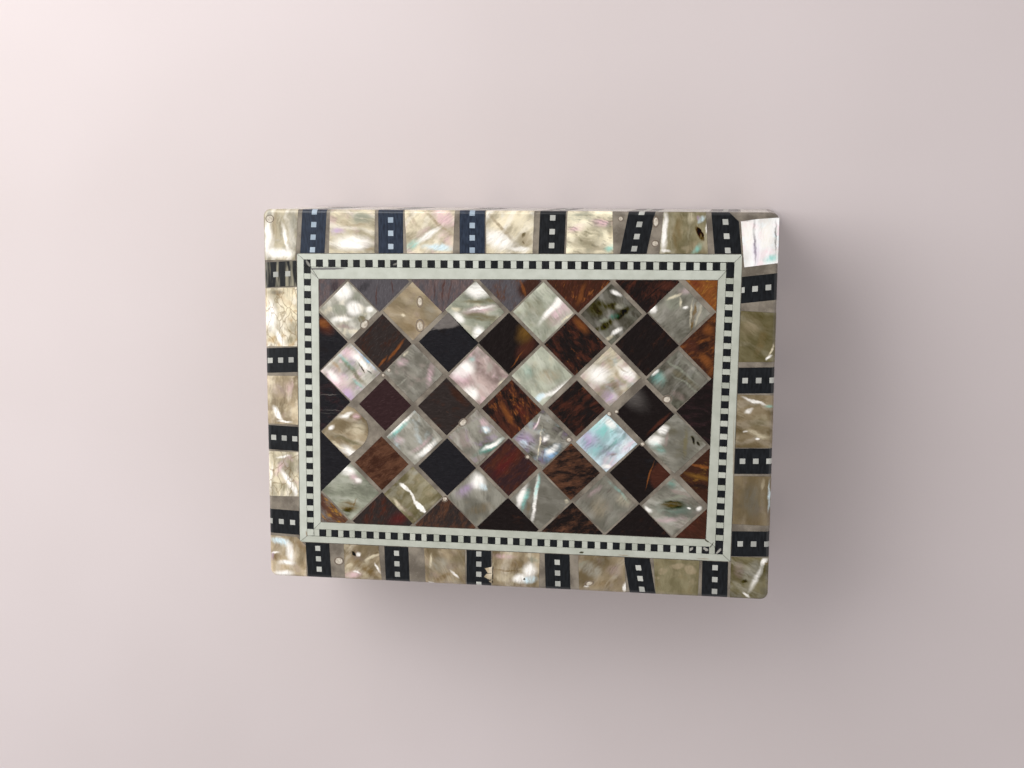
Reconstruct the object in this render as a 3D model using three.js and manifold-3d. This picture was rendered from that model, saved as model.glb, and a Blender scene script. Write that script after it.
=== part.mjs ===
// A small wooden box with a lift-off lid, covered with mother-of-pearl, tortoiseshell and
// banding set in a resin ground. Millimetres, +Z up, the origin in the middle of the underside,
// the long front side at -Y and the inlaid lid on top.
import * as THREE from "three";
import { mergeVertices } from "three/addons/utils/BufferGeometryUtils.js";
import Module from "manifold-3d";

const wasm = await Module();
wasm.setup();

// The whole box.
const LENGTH = 152;
const WIDTH = 113;
const HEIGHT = 50;
const LID_HEIGHT = 12;
const CORNER_RADIUS = 2.2; // the upright corners
const WORN_EDGE = 1.1; // rounding of the lid's upper edge
const CORNER_STEPS = 4;

// The wooden carcass.
const WALL = 6;
const BOTTOM = 5;
const PLUG_DEPTH = 4; // the lid's underside stands down into the box by this
const PLUG_PLAY = 0.6; // room round it, inside the walls

// The resin ground and the thickness of what is set in it.
const SKIN = 1.6; // on the walls and round the lid's edge
const LID_GROUND = 2.4; // over the lid board
const PIECE = 1.4; // shell, banding and ebony
const GLUE = 0.1; // between glued faces
const FIT = 0.15; // between a piece and the side of its pocket
const LID_SEAM = 0.3; // between the lid and the box
const FLOOR_REVEAL = 0.5; // the walls' skin ends this far above the floor

// The lid's face: a border, a frame of banding, and the field inside it.
const BORDER_BACK = 12.4;
const BORDER_FRONT = 11.3;
const BORDER_SIDE = 11.2;
const LONG_BANDING = 7.2;
const SHORT_BANDING = 5.8;

// The field's chequer, which stands on its points.
const COLUMNS = 6;
const ROWS = 4;
const POINT_GAP = 1.2; // least distance between the points of two pearl squares

// The ebony strips of the border.
const STRIP = 7.5;
const LONG_SIDE_STRIPS = 6;
const SHORT_SIDE_STRIPS = 4;
const LONG_SIDE_INSET = 15; // from the lid's end to the middle of the first strip
const SHORT_SIDE_INSET = 18.2;

// How the strips really lie: [shift along the side, turn in degrees], from the left or the front.
const STRIPS_LAID = {
  back: [[1.1, -4], [-0.1, 0], [0, 0], [-0.6, -2], [0.7, -11], [-0.3, 6]],
  front: [[0.9, 3], [1.2, 2], [2, 0], [1.8, 2], [2.8, 10], [-0.5, 0]],
  left: [[-0.7, -2], [0, -2], [-2, 3], [-1.6, 4]],
  right: [[-1.3, 2], [-2.2, 2], [-4.1, 2], [-2.7, 7]],
};

// Colours.
const paint = (color, roughness, metalness = 0) =>
  new THREE.MeshStandardMaterial({ color, roughness, metalness });
const WOOD = paint(0x6b4a30, 0.7);
const RESIN = paint(0x8f857a, 0.35);
const PEARL = paint(0xd6d2c4, 0.2, 0.15);
const EBONY = paint(0x1b1e26, 0.4);
const BONE = paint(0xdfe3da, 0.4);

// Heights and faces that several pieces share.
const wallTop = HEIGHT - LID_HEIGHT;
const lidUnder = wallTop + LID_SEAM;
const pieceUnder = HEIGHT - PIECE;
const skinInX = LENGTH / 2 - SKIN;
const skinInY = WIDTH / 2 - SKIN;
const boardX = skinInX - GLUE;
const boardY = skinInY - GLUE;
const hollowX = boardX - WALL;
const hollowY = boardY - WALL;

// The frame's outer edge and the field, each as [left, right, front, back].
const frameEdge = [
  -LENGTH / 2 + BORDER_SIDE,
  LENGTH / 2 - BORDER_SIDE,
  -WIDTH / 2 + BORDER_FRONT,
  WIDTH / 2 - BORDER_BACK,
];
const field = [
  frameEdge[0] + SHORT_BANDING,
  frameEdge[1] - SHORT_BANDING,
  frameEdge[2] + LONG_BANDING,
  frameEdge[3] - LONG_BANDING,
];

// Corners closer than this are one corner.
const SAME_CORNER = 1e-3;

// A closed three.js geometry as a solid that can be joined and cut.
function solid(geometry) {
  const bare = geometry.clone();
  bare.deleteAttribute("normal");
  bare.deleteAttribute("uv");
  const merged = mergeVertices(bare, SAME_CORNER);
  return new wasm.Manifold(
    new wasm.Mesh({
      numProp: 3,
      vertProperties: merged.attributes.position.array,
      triVerts: new Uint32Array(merged.index.array),
    }),
  );
}

// A solid as a named mesh of the scene.
function piece(name, made, material) {
  const { numProp, numVert, vertProperties, triVerts } = made.getMesh();
  const places = new Float32Array(numVert * 3);
  for (let i = 0; i < numVert; i++) {
    places.set(vertProperties.subarray(i * numProp, i * numProp + 3), i * 3);
  }
  const geometry = new THREE.BufferGeometry()
    .setAttribute("position", new THREE.BufferAttribute(places, 3))
    .setIndex(new THREE.BufferAttribute(triVerts, 1));
  const mesh = new THREE.Mesh(geometry, material);
  mesh.name = name;
  return mesh;
}

// A block between two corners.
function block(x0, x1, y0, y1, z0, z1) {
  const geometry = new THREE.BoxGeometry(x1 - x0, y1 - y0, z1 - z0);
  geometry.translate((x0 + x1) / 2, (y0 + y1) / 2, (z0 + z1) / 2);
  return solid(geometry);
}

// An upright prism on an outline of [x, y] points, counter-clockwise.
function prism(points, z0, z1) {
  const outline = new THREE.Shape(points.map(([x, y]) => new THREE.Vector2(x, y)));
  const geometry = new THREE.ExtrudeGeometry(outline, { depth: z1 - z0, bevelEnabled: false });
  geometry.translate(0, 0, z0);
  return solid(geometry);
}

// A rectangle's outline with round corners, about the middle.
function roundedOutline(halfX, halfY, radius) {
  const outline = new THREE.Shape();
  outline.absarc(halfX - radius, -halfY + radius, radius, -Math.PI / 2, 0);
  outline.absarc(halfX - radius, halfY - radius, radius, 0, Math.PI / 2);
  outline.absarc(-halfX + radius, halfY - radius, radius, Math.PI / 2, Math.PI);
  outline.absarc(-halfX + radius, -halfY + radius, radius, Math.PI, 1.5 * Math.PI);
  return outline;
}

// The box's full outline as an upright solid with round corners.
function outerBlock(z0, z1) {
  const geometry = new THREE.ExtrudeGeometry(
    roundedOutline(LENGTH / 2, WIDTH / 2, CORNER_RADIUS),
    { depth: z1 - z0, bevelEnabled: false, curveSegments: CORNER_STEPS },
  );
  geometry.translate(0, 0, z0);
  return solid(geometry);
}

// The same outline with its upper edge rounded, down to z0.
function lidBlock(z0) {
  const geometry = new THREE.ExtrudeGeometry(
    roundedOutline(LENGTH / 2 - WORN_EDGE, WIDTH / 2 - WORN_EDGE, CORNER_RADIUS - WORN_EDGE),
    {
      depth: LID_HEIGHT,
      curveSegments: CORNER_STEPS,
      bevelSize: WORN_EDGE,
      bevelThickness: WORN_EDGE,
      bevelSegments: CORNER_STEPS,
    },
  );
  geometry.translate(0, 0, HEIGHT - WORN_EDGE - LID_HEIGHT);
  return solid(geometry).intersect(block(-LENGTH, LENGTH, -WIDTH, WIDTH, z0, HEIGHT + LID_HEIGHT));
}

// The carcass: a bottom board with the four walls on it, the long ones between the skin's faces.
function carcass() {
  const top = wallTop;
  const foot = BOTTOM + GLUE;
  return [
    piece("bottom_board", block(-boardX, boardX, -boardY, boardY, 0, BOTTOM), WOOD),
    piece("front_wall", block(-boardX, boardX, -boardY, -hollowY, foot, top), WOOD),
    piece("back_wall", block(-boardX, boardX, hollowY, boardY, foot, top), WOOD),
    piece("left_wall", block(-boardX, -hollowX, -hollowY + GLUE, hollowY - GLUE, foot, top), WOOD),
    piece("right_wall", block(hollowX, boardX, -hollowY + GLUE, hollowY - GLUE, foot, top), WOOD),
  ];
}

// The shell-covered skin on the four walls. The long sides' skins take the round corners.
function wallSkins() {
  const ring = outerBlock(FLOOR_REVEAL, wallTop).subtract(
    block(-skinInX, skinInX, -skinInY, skinInY, -HEIGHT, HEIGHT),
  );
  const reach = LENGTH + WIDTH;
  const split = skinInY - GLUE;
  const slab = (x0, x1, y0, y1) => ring.intersect(block(x0, x1, y0, y1, -HEIGHT, HEIGHT));
  return [
    piece("front_skin", slab(-reach, reach, -reach, -skinInY), RESIN),
    piece("back_skin", slab(-reach, reach, skinInY, reach), RESIN),
    piece("left_skin", slab(-reach, 0, -split, split), RESIN),
    piece("right_skin", slab(0, reach, -split, split), RESIN),
  ];
}

// The lid's board: a slab with a plug under it that drops between the walls.
function lidBoard() {
  const plugX = hollowX - PLUG_PLAY;
  const plugY = hollowY - PLUG_PLAY;
  const slabTop = HEIGHT - LID_GROUND - GLUE;
  const slab = block(-boardX, boardX, -boardY, boardY, lidUnder, slabTop);
  const plug = block(-plugX, plugX, -plugY, plugY, lidUnder - PLUG_DEPTH, slabTop);
  return piece("lid_board", slab.add(plug), WOOD);
}

// A square that stands on its point, with its points at reach from its middle.
function diamond(x, y, reach) {
  return [[x, y - reach], [x + reach, y], [x, y + reach], [x - reach, y]];
}

// The middles of the pearl squares, row by row from the back left, and half their diagonal.
function chequer() {
  const pitchX = (field[1] - field[0]) / COLUMNS;
  const pitchY = (field[3] - field[2]) / ROWS;
  const reach = (Math.min(pitchX, pitchY) - POINT_GAP) / 2;
  const middles = [];
  for (let row = 0; row < ROWS; row++) {
    for (let column = 0; column < COLUMNS; column++) {
      const x = field[0] + (column + 0.5) * pitchX;
      const y = field[3] - (row + 0.5) * pitchY;
      middles.push({ name: `pearl_square_${row + 1}_${column + 1}`, x, y });
    }
  }
  return { middles, reach };
}

// The outline of an ebony strip: a rectangle about its middle, turned there.
function stripOutline({ x, y, halfX, halfY, turn }, spare) {
  const angle = THREE.MathUtils.degToRad(turn);
  const corners = [[-1, -1], [1, -1], [1, 1], [-1, 1]];
  return corners.map(([sx, sy]) => {
    const corner = new THREE.Vector2(sx * (halfX + spare), sy * (halfY + spare));
    corner.rotateAround(new THREE.Vector2(0, 0), angle);
    return [x + corner.x, y + corner.y];
  });
}

// Where the strips of the border lie. Each runs on past the lid's edge, where it is cut off.
function borderStrips() {
  const half = STRIP / 2;
  const spread = (side, count, start, end) =>
    STRIPS_LAID[side].slice(0, count).map(([shift, turn], i) => ({
      name: `ebony_strip_${side}_${i + 1}`,
      along: start + ((end - start) * i) / (count - 1) + shift,
      turn,
    }));
  const longSide = (side) =>
    spread(side, LONG_SIDE_STRIPS, -LENGTH / 2 + LONG_SIDE_INSET, LENGTH / 2 - LONG_SIDE_INSET);
  const shortSide = (side) =>
    spread(side, SHORT_SIDE_STRIPS, -WIDTH / 2 + SHORT_SIDE_INSET, WIDTH / 2 - SHORT_SIDE_INSET);
  return [
    ...longSide("back").map((s) => ({ ...s, x: s.along, y: WIDTH / 2, halfX: half, halfY: BORDER_BACK })),
    ...longSide("front").map((s) => ({ ...s, x: s.along, y: -WIDTH / 2, halfX: half, halfY: BORDER_FRONT })),
    ...shortSide("left").map((s) => ({ ...s, x: -LENGTH / 2, y: s.along, halfX: BORDER_SIDE, halfY: half })),
    ...shortSide("right").map((s) => ({ ...s, x: LENGTH / 2, y: s.along, halfX: BORDER_SIDE, halfY: half })),
  ];
}

// The four mitred strips of banding, between the frame's outer edge and the field.
function bandingOutlines() {
  const [left, right, front, back] = frameEdge;
  const [inLeft, inRight, inFront, inBack] = field;
  return {
    front: [[left, front], [right, front], [inRight, inFront], [inLeft, inFront]],
    right: [[right, front], [right, back], [inRight, inBack], [inRight, inFront]],
    back: [[right, back], [left, back], [inLeft, inBack], [inRight, inBack]],
    left: [[left, back], [left, front], [inLeft, inFront], [inLeft, inBack]],
  };
}

// An outline moved inwards by a distance on every side. It runs counter-clockwise and is convex.
function shrunk(points, distance) {
  const at = points.map(([x, y]) => new THREE.Vector2(x, y));
  return at.map((here, i) => {
    const before = at[(i + at.length - 1) % at.length];
    const after = at[(i + 1) % at.length];
    const arriving = here.clone().sub(before).normalize();
    const leaving = after.clone().sub(here).normalize();
    const inwards = new THREE.Vector2(-arriving.y - leaving.y, arriving.x + leaving.x);
    const share = distance / (1 + arriving.dot(leaving));
    return [here.x + inwards.x * share, here.y + inwards.y * share];
  });
}

// The lid's ground: a shallow cap over the board, with a pocket for each piece that is set in it.
function lidGround(strips, pearls) {
  const over = HEIGHT + LID_HEIGHT;
  const inside = block(-skinInX, skinInX, -skinInY, skinInY, 0, HEIGHT - LID_GROUND);
  const floor = pieceUnder - GLUE;
  const [left, right, front, back] = frameEdge;
  const frame = block(left, right, front, back, floor, over).subtract(
    block(...field, 0, over + LID_HEIGHT),
  );
  const pockets = strips
    .map((strip) => prism(stripOutline(strip, FIT), floor, over))
    .concat(pearls.middles.map(({ x, y }) => prism(diamond(x, y, pearls.reach + FIT), floor, over)));
  const cap = lidBlock(lidUnder).subtract(inside).subtract(frame);
  return piece("lid_ground", pockets.reduce((rest, pocket) => rest.subtract(pocket), cap), RESIN);
}

// The pieces set in the lid. Each is the lid's own top layer, cut to the piece's outline.
function inlay(strips, pearls) {
  const layer = lidBlock(pieceUnder);
  const over = HEIGHT + LID_HEIGHT;
  const cut = (outline) => layer.intersect(prism(outline, 0, over));
  const [left, right, front, back] = frameEdge;
  const insideFrame = block(left - FIT, right + FIT, front - FIT, back + FIT, 0, over);
  const squares = pearls.middles.map(({ name, x, y }) =>
    piece(name, cut(diamond(x, y, pearls.reach)), PEARL),
  );
  const ebony = strips.map((strip) =>
    piece(strip.name, cut(stripOutline(strip, 0)).subtract(insideFrame), EBONY),
  );
  const banding = Object.entries(bandingOutlines()).map(([side, outline]) =>
    piece(`banding_${side}`, cut(shrunk(outline, FIT)), BONE),
  );
  return [...squares, ...ebony, ...banding];
}

const strips = borderStrips();
const pearls = chequer();
const shellBox = new THREE.Group();
shellBox.add(...carcass(), ...wallSkins(), lidBoard(), lidGround(strips, pearls), ...inlay(strips, pearls));

export default shellBox;
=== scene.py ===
"""The looks of a shell box: a wooden box with a lift-off lid, covered with mother-of-pearl,
tortoiseshell, ebony strips and chequered bone banding, all set in a resin ground.

Lengths are in millimetres, and places are those of the box: x to the right, y to the back, z up.
They become metres where a mesh is made. Turns are in degrees, counter-clockwise from above."""
import math
import random
from collections import namedtuple
from contextlib import contextmanager

import bmesh
import bpy
from mathutils import Matrix, Vector


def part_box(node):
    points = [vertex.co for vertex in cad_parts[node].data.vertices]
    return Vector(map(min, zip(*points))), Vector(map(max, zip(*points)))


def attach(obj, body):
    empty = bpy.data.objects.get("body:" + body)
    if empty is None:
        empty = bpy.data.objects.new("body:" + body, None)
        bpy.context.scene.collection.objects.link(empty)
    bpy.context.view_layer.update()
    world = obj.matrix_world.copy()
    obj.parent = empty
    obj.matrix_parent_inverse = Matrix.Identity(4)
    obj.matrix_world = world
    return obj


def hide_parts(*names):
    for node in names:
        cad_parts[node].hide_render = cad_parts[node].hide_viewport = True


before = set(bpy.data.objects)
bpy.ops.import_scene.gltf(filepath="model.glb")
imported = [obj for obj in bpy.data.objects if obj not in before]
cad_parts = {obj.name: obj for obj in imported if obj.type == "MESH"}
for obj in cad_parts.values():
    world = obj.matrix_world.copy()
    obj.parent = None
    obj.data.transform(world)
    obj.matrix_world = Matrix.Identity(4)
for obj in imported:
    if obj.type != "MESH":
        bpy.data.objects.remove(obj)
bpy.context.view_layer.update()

MM = 0.001


def box_of(node):
    """The lowest and highest corner of a node, in millimetres."""
    low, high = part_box(node)
    return low / MM, high / MM


# The camera, where the lid's four corners fall on the photograph's.
IMAGE_WIDTH = 1024
FOCAL_LENGTH_IN_PIXELS = 1400
SENSOR_WIDTH = 36.0
CAMERA_PLACE = Vector((64.73, 64.15, 454.62))
CAMERA_AIM = Vector((-0.23, 5.60, 50.0))
CAMERA_ROLL = 0.223


def make_camera():
    data = bpy.data.cameras.new("photo_camera")
    data.sensor_width = SENSOR_WIDTH
    data.lens = FOCAL_LENGTH_IN_PIXELS * SENSOR_WIDTH / IMAGE_WIDTH
    camera = bpy.data.objects.new("photo_camera", data)
    bpy.context.collection.objects.link(camera)
    back = (CAMERA_PLACE - CAMERA_AIM).normalized()
    right = Vector((0, 1, 0)).cross(back).normalized()
    turn = Matrix((right, back.cross(right), back)).transposed().to_4x4()
    roll = Matrix.Rotation(math.radians(CAMERA_ROLL), 4, "Z")
    camera.matrix_world = Matrix.Translation(CAMERA_PLACE * MM) @ turn @ roll
    bpy.context.scene.camera = camera


make_camera()

# The lid and the walls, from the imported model.
LID_LOW, LID_HIGH = box_of("lid_ground")
BOARD_LOW, BOARD_HIGH = box_of("lid_board")
HALF_LENGTH = LID_HIGH.x
HALF_WIDTH = LID_HIGH.y
TOP = LID_HIGH.z
CORNER_RADIUS = 2.2
WORN_EDGE = 1.1
PIECE = 1.4  # thickness of what is set in the ground
GLUE = 0.1
EASED = 0.06  # rounding of a piece's cut edges
EASED_FROM = 40  # degrees between the two faces of an edge that is eased
SMOOTH_UP_TO = 35  # and of one that is shaded smooth
CUT_PRECISION = 1e-7  # in metres
POLISHED_OFF = 0.03  # how far the lid's inlay lies below its bubbles, which are harder
NEAR = 0.02  # places closer than this are the same one
TILE_STEPS = 5  # in the rounding of a tile's corners
GROUND_STEPS = 6  # and of the ground's

# How far below the inlay's surface each kind of piece lies.
SHELL_LEVEL = 0.0
BONE_LEVEL = 0.01
EBONY_LEVEL = 0.02
GROUND_LEVEL = 0.04
POCKET_PLAY = 0.03

# The banding's four lines as they really lie, each from the back left, clockwise.
OUTER_LINE = [(-65.6, 43.3), (66.0, 44.6), (64.9, -45.4), (-66.3, -45.3)]
CHEQUER_OUTER = [(-63.5, 41.5), (63.8, 42.3), (62.6, -43.3), (-63.9, -43.3)]
CHEQUER_INNER = [(-61.4, 39.4), (61.6, 39.9), (60.4, -41.2), (-61.8, -41.1)]
INNER_LINE = [(-59.0, 35.8), (59.3, 37.2), (57.6, -39.0), (-59.5, -38.8)]
SIDES = ["back", "right", "front", "left"]
LONG_SIDES = ("back", "front")
CHEQUER_SQUARES = {"back": 65, "right": 43, "front": 65, "left": 43}  # between the corner squares

# How the field's corners really lie, off the true rectangle of the solids.
FIELD_LEAN = {
    (-1, 1): Vector((-0.5, -1.4)),
    (1, 1): Vector((0.1, 0.1)),
    (1, -1): Vector((-1.4, -1.3)),
    (-1, -1): Vector((-0.8, 0.0)),
}

# The white squares of each ebony strip: the middle of the first one, from the lid's edge, and from
# each to the next. The strips run from the left, or from the front.
SQUARES_LAID = {
    "back": [(0.8, 3.75), (3.0, 3.9), (0.8, 3.6), (2.0, 4.0), (0.2, 3.55), (2.8, 4.05)],
    "front": [(2.8, 3.3), (2.4, 3.3), (0.5, 3.15), (1.9, 3.3), (1.5, 3.3), (1.9, 3.6)],
    "left": [(0.3, 3.6), (2.0, 3.35), (1.4, 3.3), (3.7, 3.8)],
    "right": [(0.7, 3.85), (0.8, 3.8), (0.6, 3.85), (2.5, 3.75)],
}
BLUE_STRIPS = [("back", 1), ("back", 2), ("back", 3)]
WORN_STRIPS = [("left", 4)]
SIDE_PITCH = 3.7  # from square to square on the walls
SQUARE = 1.65
SQUARE_THICKNESS = 0.5
CHEQUER_THICKNESS = 0.7

# The border's shell pieces between the strips: from and to along the side, at the lid's edge and at
# the banding. Those of the back and front run from the left, the others from the front.
SHELLS_LAID = {
    "back": [
        (-55.0, -41.4, -55.7, -41.7),
        (-32.6, -17.3, -31.8, -18.0),
        (-8.2, 6.2, -8.0, 5.6),
        (15.9, 28.7, 15.4, 29.3),
        (43.6, 55.3, 42.3, 56.4),
    ],
    "front": [
        (-52.0, -40.2, -52.4, -41.6),
        (-26.6, -14.2, -27.2, -14.6),
        (-6.2, 8.2, -6.0, 8.4),
        (20.5, 34.6, 19.8, 33.6),
        (43.4, 55.6, 42.2, 56.0),
    ],
    "left": [(-31.2, -17.1, -31.0, -17.3), (-8.6, 6.1, -8.7, 6.4), (15.0, 32.6, 15.5, 33.4)],
    "right": [(-34.2, -19.4, -34.0, -19.8), (-11.0, 4.3, -11.4, 4.2), (14.0, 28.0, 13.6, 28.6)],
}
CORNER_SHELLS_LAID = {
    "back_left": [(-78, 58), (-64.9, 58), (-65.6, 47), (-66.2, 41.4), (-78, 41.2)],
    "back_right": [(65.3, 53.9), (70, 54.6), (78, 55.2), (78, 42.5), (66.6, 40.9)],
    "front_right": [(65.1, -43.9), (78, -43.7), (78, -58), (65.0, -58)],
    "front_left": [(-78, -43.6), (-67.3, -43.8), (-64.4, -46.4), (-64.3, -58), (-78, -58)],
}


# Colours, as they look in the photograph's light.
def seen(red, green, blue):
    """A colour given as it is seen, from 0 to 255, as the light that a surface sends back. The
    numbers are those of the usual screen curve."""
    def linear(value):
        share = value / 255
        return share / 12.92 if share <= 0.04045 else ((share + 0.055) / 1.055) ** 2.4
    return (linear(red), linear(green), linear(blue), 1.0)


SHADES = {
    # white is the shell's palest nacre, and also painted highlight where it is dabbed on the shell and laid
    # in its sheen bands.
    "white": seen(252, 250, 246),
    "ice": seen(226, 242, 248),
    "cream": seen(236, 228, 208),
    "buff": seen(186, 175, 157),
    "tan": seen(150, 134, 112),
    "silver": seen(184, 182, 174),
    "grey": seen(146, 144, 138),
    "slate": seen(118, 118, 114),
    "olive": seen(152, 147, 130),
    "sage": seen(172, 174, 163),
    "moss": seen(70, 68, 50),
    "fern": seen(106, 104, 88),
    "pink": seen(236, 208, 216),
    "rose": seen(180, 167, 163),
    "lilac": seen(206, 186, 218),
    "aqua": seen(166, 222, 216),
    "teal": seen(128, 186, 176),
    "sky": seen(160, 204, 238),
    "black": seen(27, 20, 19),
    "navy": seen(31, 30, 34),
    "plum": seen(54, 34, 36),
    "brown": seen(64, 36, 24),
    "rust": seen(80, 42, 30),
    "red": seen(100, 28, 26),
    "umber": seen(98, 64, 46),
    "soot": seen(50, 42, 40),
    "amber": seen(136, 80, 38),
    "gold": seen(176, 128, 50),
    # haze, dusk and mauve lay grey over the dark pieces as painted reflection of the light on their polish;
    # dusk also draws a filler line in the bone.
    "haze": seen(122, 116, 112),
    "dusk": seen(90, 86, 90),
    "mauve": seen(112, 94, 92),
}

# The shades that lie in the depth of a piece, and so are painted wider and fainter.
TINTS = ("pink", "lilac", "aqua", "teal", "sky", "red", "gold")


def toned(shade, tone):
    """A shade, made darker or lighter."""
    return tuple(tone * value for value in SHADES[shade][:3]) + (1.0,)


class Recipe:
    """A node material that is put together step by step. Its places are millimetres from a centre."""

    def __init__(self, name, centre=(0, 0)):
        self.material = bpy.data.materials.new(name)
        self.material.use_nodes = True
        self.tree = self.material.node_tree
        self.shader = self.tree.nodes["Principled BSDF"]
        place = self.node("ShaderNodeTexCoord").outputs["Object"]
        away = (-centre[0], -centre[1], 0)
        self.place = self.moved(place, away=away, scale=(1 / MM,) * 3)

    def node(self, kind, inputs=None, **settings):
        made = self.tree.nodes.new(kind)
        for name, value in settings.items():
            setattr(made, name, value)
        for name, value in (inputs or {}).items():
            if isinstance(value, bpy.types.NodeSocket):
                self.tree.links.new(value, made.inputs[name])
            else:
                made.inputs[name].default_value = value
        return made

    def moved(self, place, away=(0, 0, 0), turn=0.0, scale=(1, 1, 1)):
        inputs = {"Vector": place, "Location": away, "Rotation": (0, 0, math.radians(turn)), "Scale": scale}
        return self.node("ShaderNodeMapping", inputs).outputs["Vector"]

    def noise(self, place, size, seed=0.0, detail=3.0, roughness=0.5, output="Fac"):
        """Clouds about as large as size."""
        inputs = {"Vector": place, "W": seed, "Scale": 1 / size, "Detail": detail, "Roughness": roughness}
        return self.node("ShaderNodeTexNoise", inputs, noise_dimensions="4D").outputs[output]

    def cut(self):
        """The number that mark_cut has given to a piece."""
        return self.node("ShaderNodeAttribute", attribute_name="cut").outputs["Fac"]

    def bands(self, place, pitch, wander=3.0, detail=2.0, phase=0.0):
        """Wavy bands across x, with this pitch."""
        bands_per_turn = 20  # of the texture, at scale 1
        inputs = {
            "Vector": place,
            "Scale": math.tau / (bands_per_turn * pitch),
            "Distortion": wander,
            "Detail": detail,
            "Detail Scale": 1.3,
            "Phase Offset": phase,
        }
        return self.node("ShaderNodeTexWave", inputs, bands_direction="X").outputs["Fac"]

    def ramp(self, value, low, high, to_low=0.0, to_high=1.0):
        inputs = {"Value": value, "From Min": low, "From Max": high, "To Min": to_low, "To Max": to_high}
        return self.node("ShaderNodeMapRange", inputs, interpolation_type="SMOOTHSTEP").outputs["Result"]

    def times(self, first, second):
        return self.node("ShaderNodeMath", {0: first, 1: second}, operation="MULTIPLY").outputs["Value"]

    def plus(self, first, second):
        return self.node("ShaderNodeMath", {0: first, 1: second}, operation="ADD").outputs["Value"]

    def mix(self, share, under, over, kind="MIX"):
        inputs = {0: share, 6: under, 7: over}
        made = self.node("ShaderNodeMix", inputs, data_type="RGBA", blend_type=kind, clamp_factor=True)
        return made.outputs[2]

    def pushed(self, clouds, amount):
        """The place, moved by the colours of clouds, this far where they are brightest."""
        push = self.node("ShaderNodeVectorMath", {0: clouds, "Scale": amount}, operation="SCALE")
        moved = self.node("ShaderNodeVectorMath", {0: self.place, 1: push.outputs[0]}, operation="ADD")
        return moved.outputs[0]

    def drifting(self, amount, size, seed=0.0):
        """The place, pushed about by clouds, so that what is drawn on it is uneven."""
        clouds = self.noise(self.place, size, seed, detail=4, roughness=0.6, output="Color")
        centred = self.node("ShaderNodeVectorMath", {0: clouds, 1: (0.5, 0.5, 0.5)}, operation="SUBTRACT")
        return self.pushed(centred.outputs[0], amount)

    def patch(self, place, x, y, long, wide, turn=0.0, soft=0.7):
        """How much a place belongs to an oval patch: 1 inside, 0 outside, at any depth."""
        any_depth = 1000
        inputs = {
            "Vector": place,
            "Location": (x, y, 0),
            "Rotation": (0, 0, math.radians(turn)),
            "Scale": (long / 2, wide / 2, any_depth),
        }
        inside = self.node("ShaderNodeMapping", inputs, vector_type="TEXTURE").outputs["Vector"]
        away = self.node("ShaderNodeVectorMath", {0: inside}, operation="LENGTH").outputs["Value"]
        return self.ramp(away, 1.0 + soft / 3, 1.0 - soft, 0.0, 1.0)

    def painted(self, colour, place, dabs, streaks=1.0):
        """The colour with soft dabs over it: shade, x, y, long, wide, turn, strength, softness. The
        tints spread wider and fainter than the plain shades, and the white ones are less streaked."""
        faintly = self.ramp(streaks, 0.0, 1.0, 0.6, 1.0)
        for shade, x, y, long, wide, *rest in dabs:
            turn, strength, soft = (list(rest) + [0.0, 0.9, 0.7][len(rest):])
            if shade in TINTS:
                long, wide, strength, soft = long * 1.15, wide * 1.35, strength * 0.75, 0.95
            share = self.times(self.patch(place, x, y, long, wide, turn, soft), strength)
            # White dabs on shell are partly pale nacre and partly painted highlights, so they keep more of
            # their brightness.
            share = self.times(share, faintly if shade == "white" else streaks)
            colour = self.mix(share, colour, SHADES[shade])
        return colour

    def shaded(self, colour, share):
        """The colour, darkened to this share of itself."""
        grey = self.node("ShaderNodeCombineColor", {0: share, 1: share, 2: share}).outputs[0]
        return self.mix(1.0, colour, grey, "MULTIPLY")

    def relief(self, height, depth):
        bump = self.node("ShaderNodeBump", {"Height": height, "Distance": depth * MM, "Strength": 1.0})
        self.tree.links.new(bump.outputs["Normal"], self.shader.inputs["Normal"])

    def finish(self, colour, roughness, metallic=0.0, coat=0.0, coat_roughness=0.05):
        for name, value in {"Base Color": colour, "Roughness": roughness}.items():
            self.tree.links.new(value, self.shader.inputs[name])
        self.shader.inputs["Metallic"].default_value = metallic
        self.shader.inputs["Coat Weight"].default_value = coat
        self.shader.inputs["Coat Roughness"].default_value = coat_roughness
        self.shader.inputs["Specular IOR Level"].default_value = 0.25 if coat else 0.5
        return self.material


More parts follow.
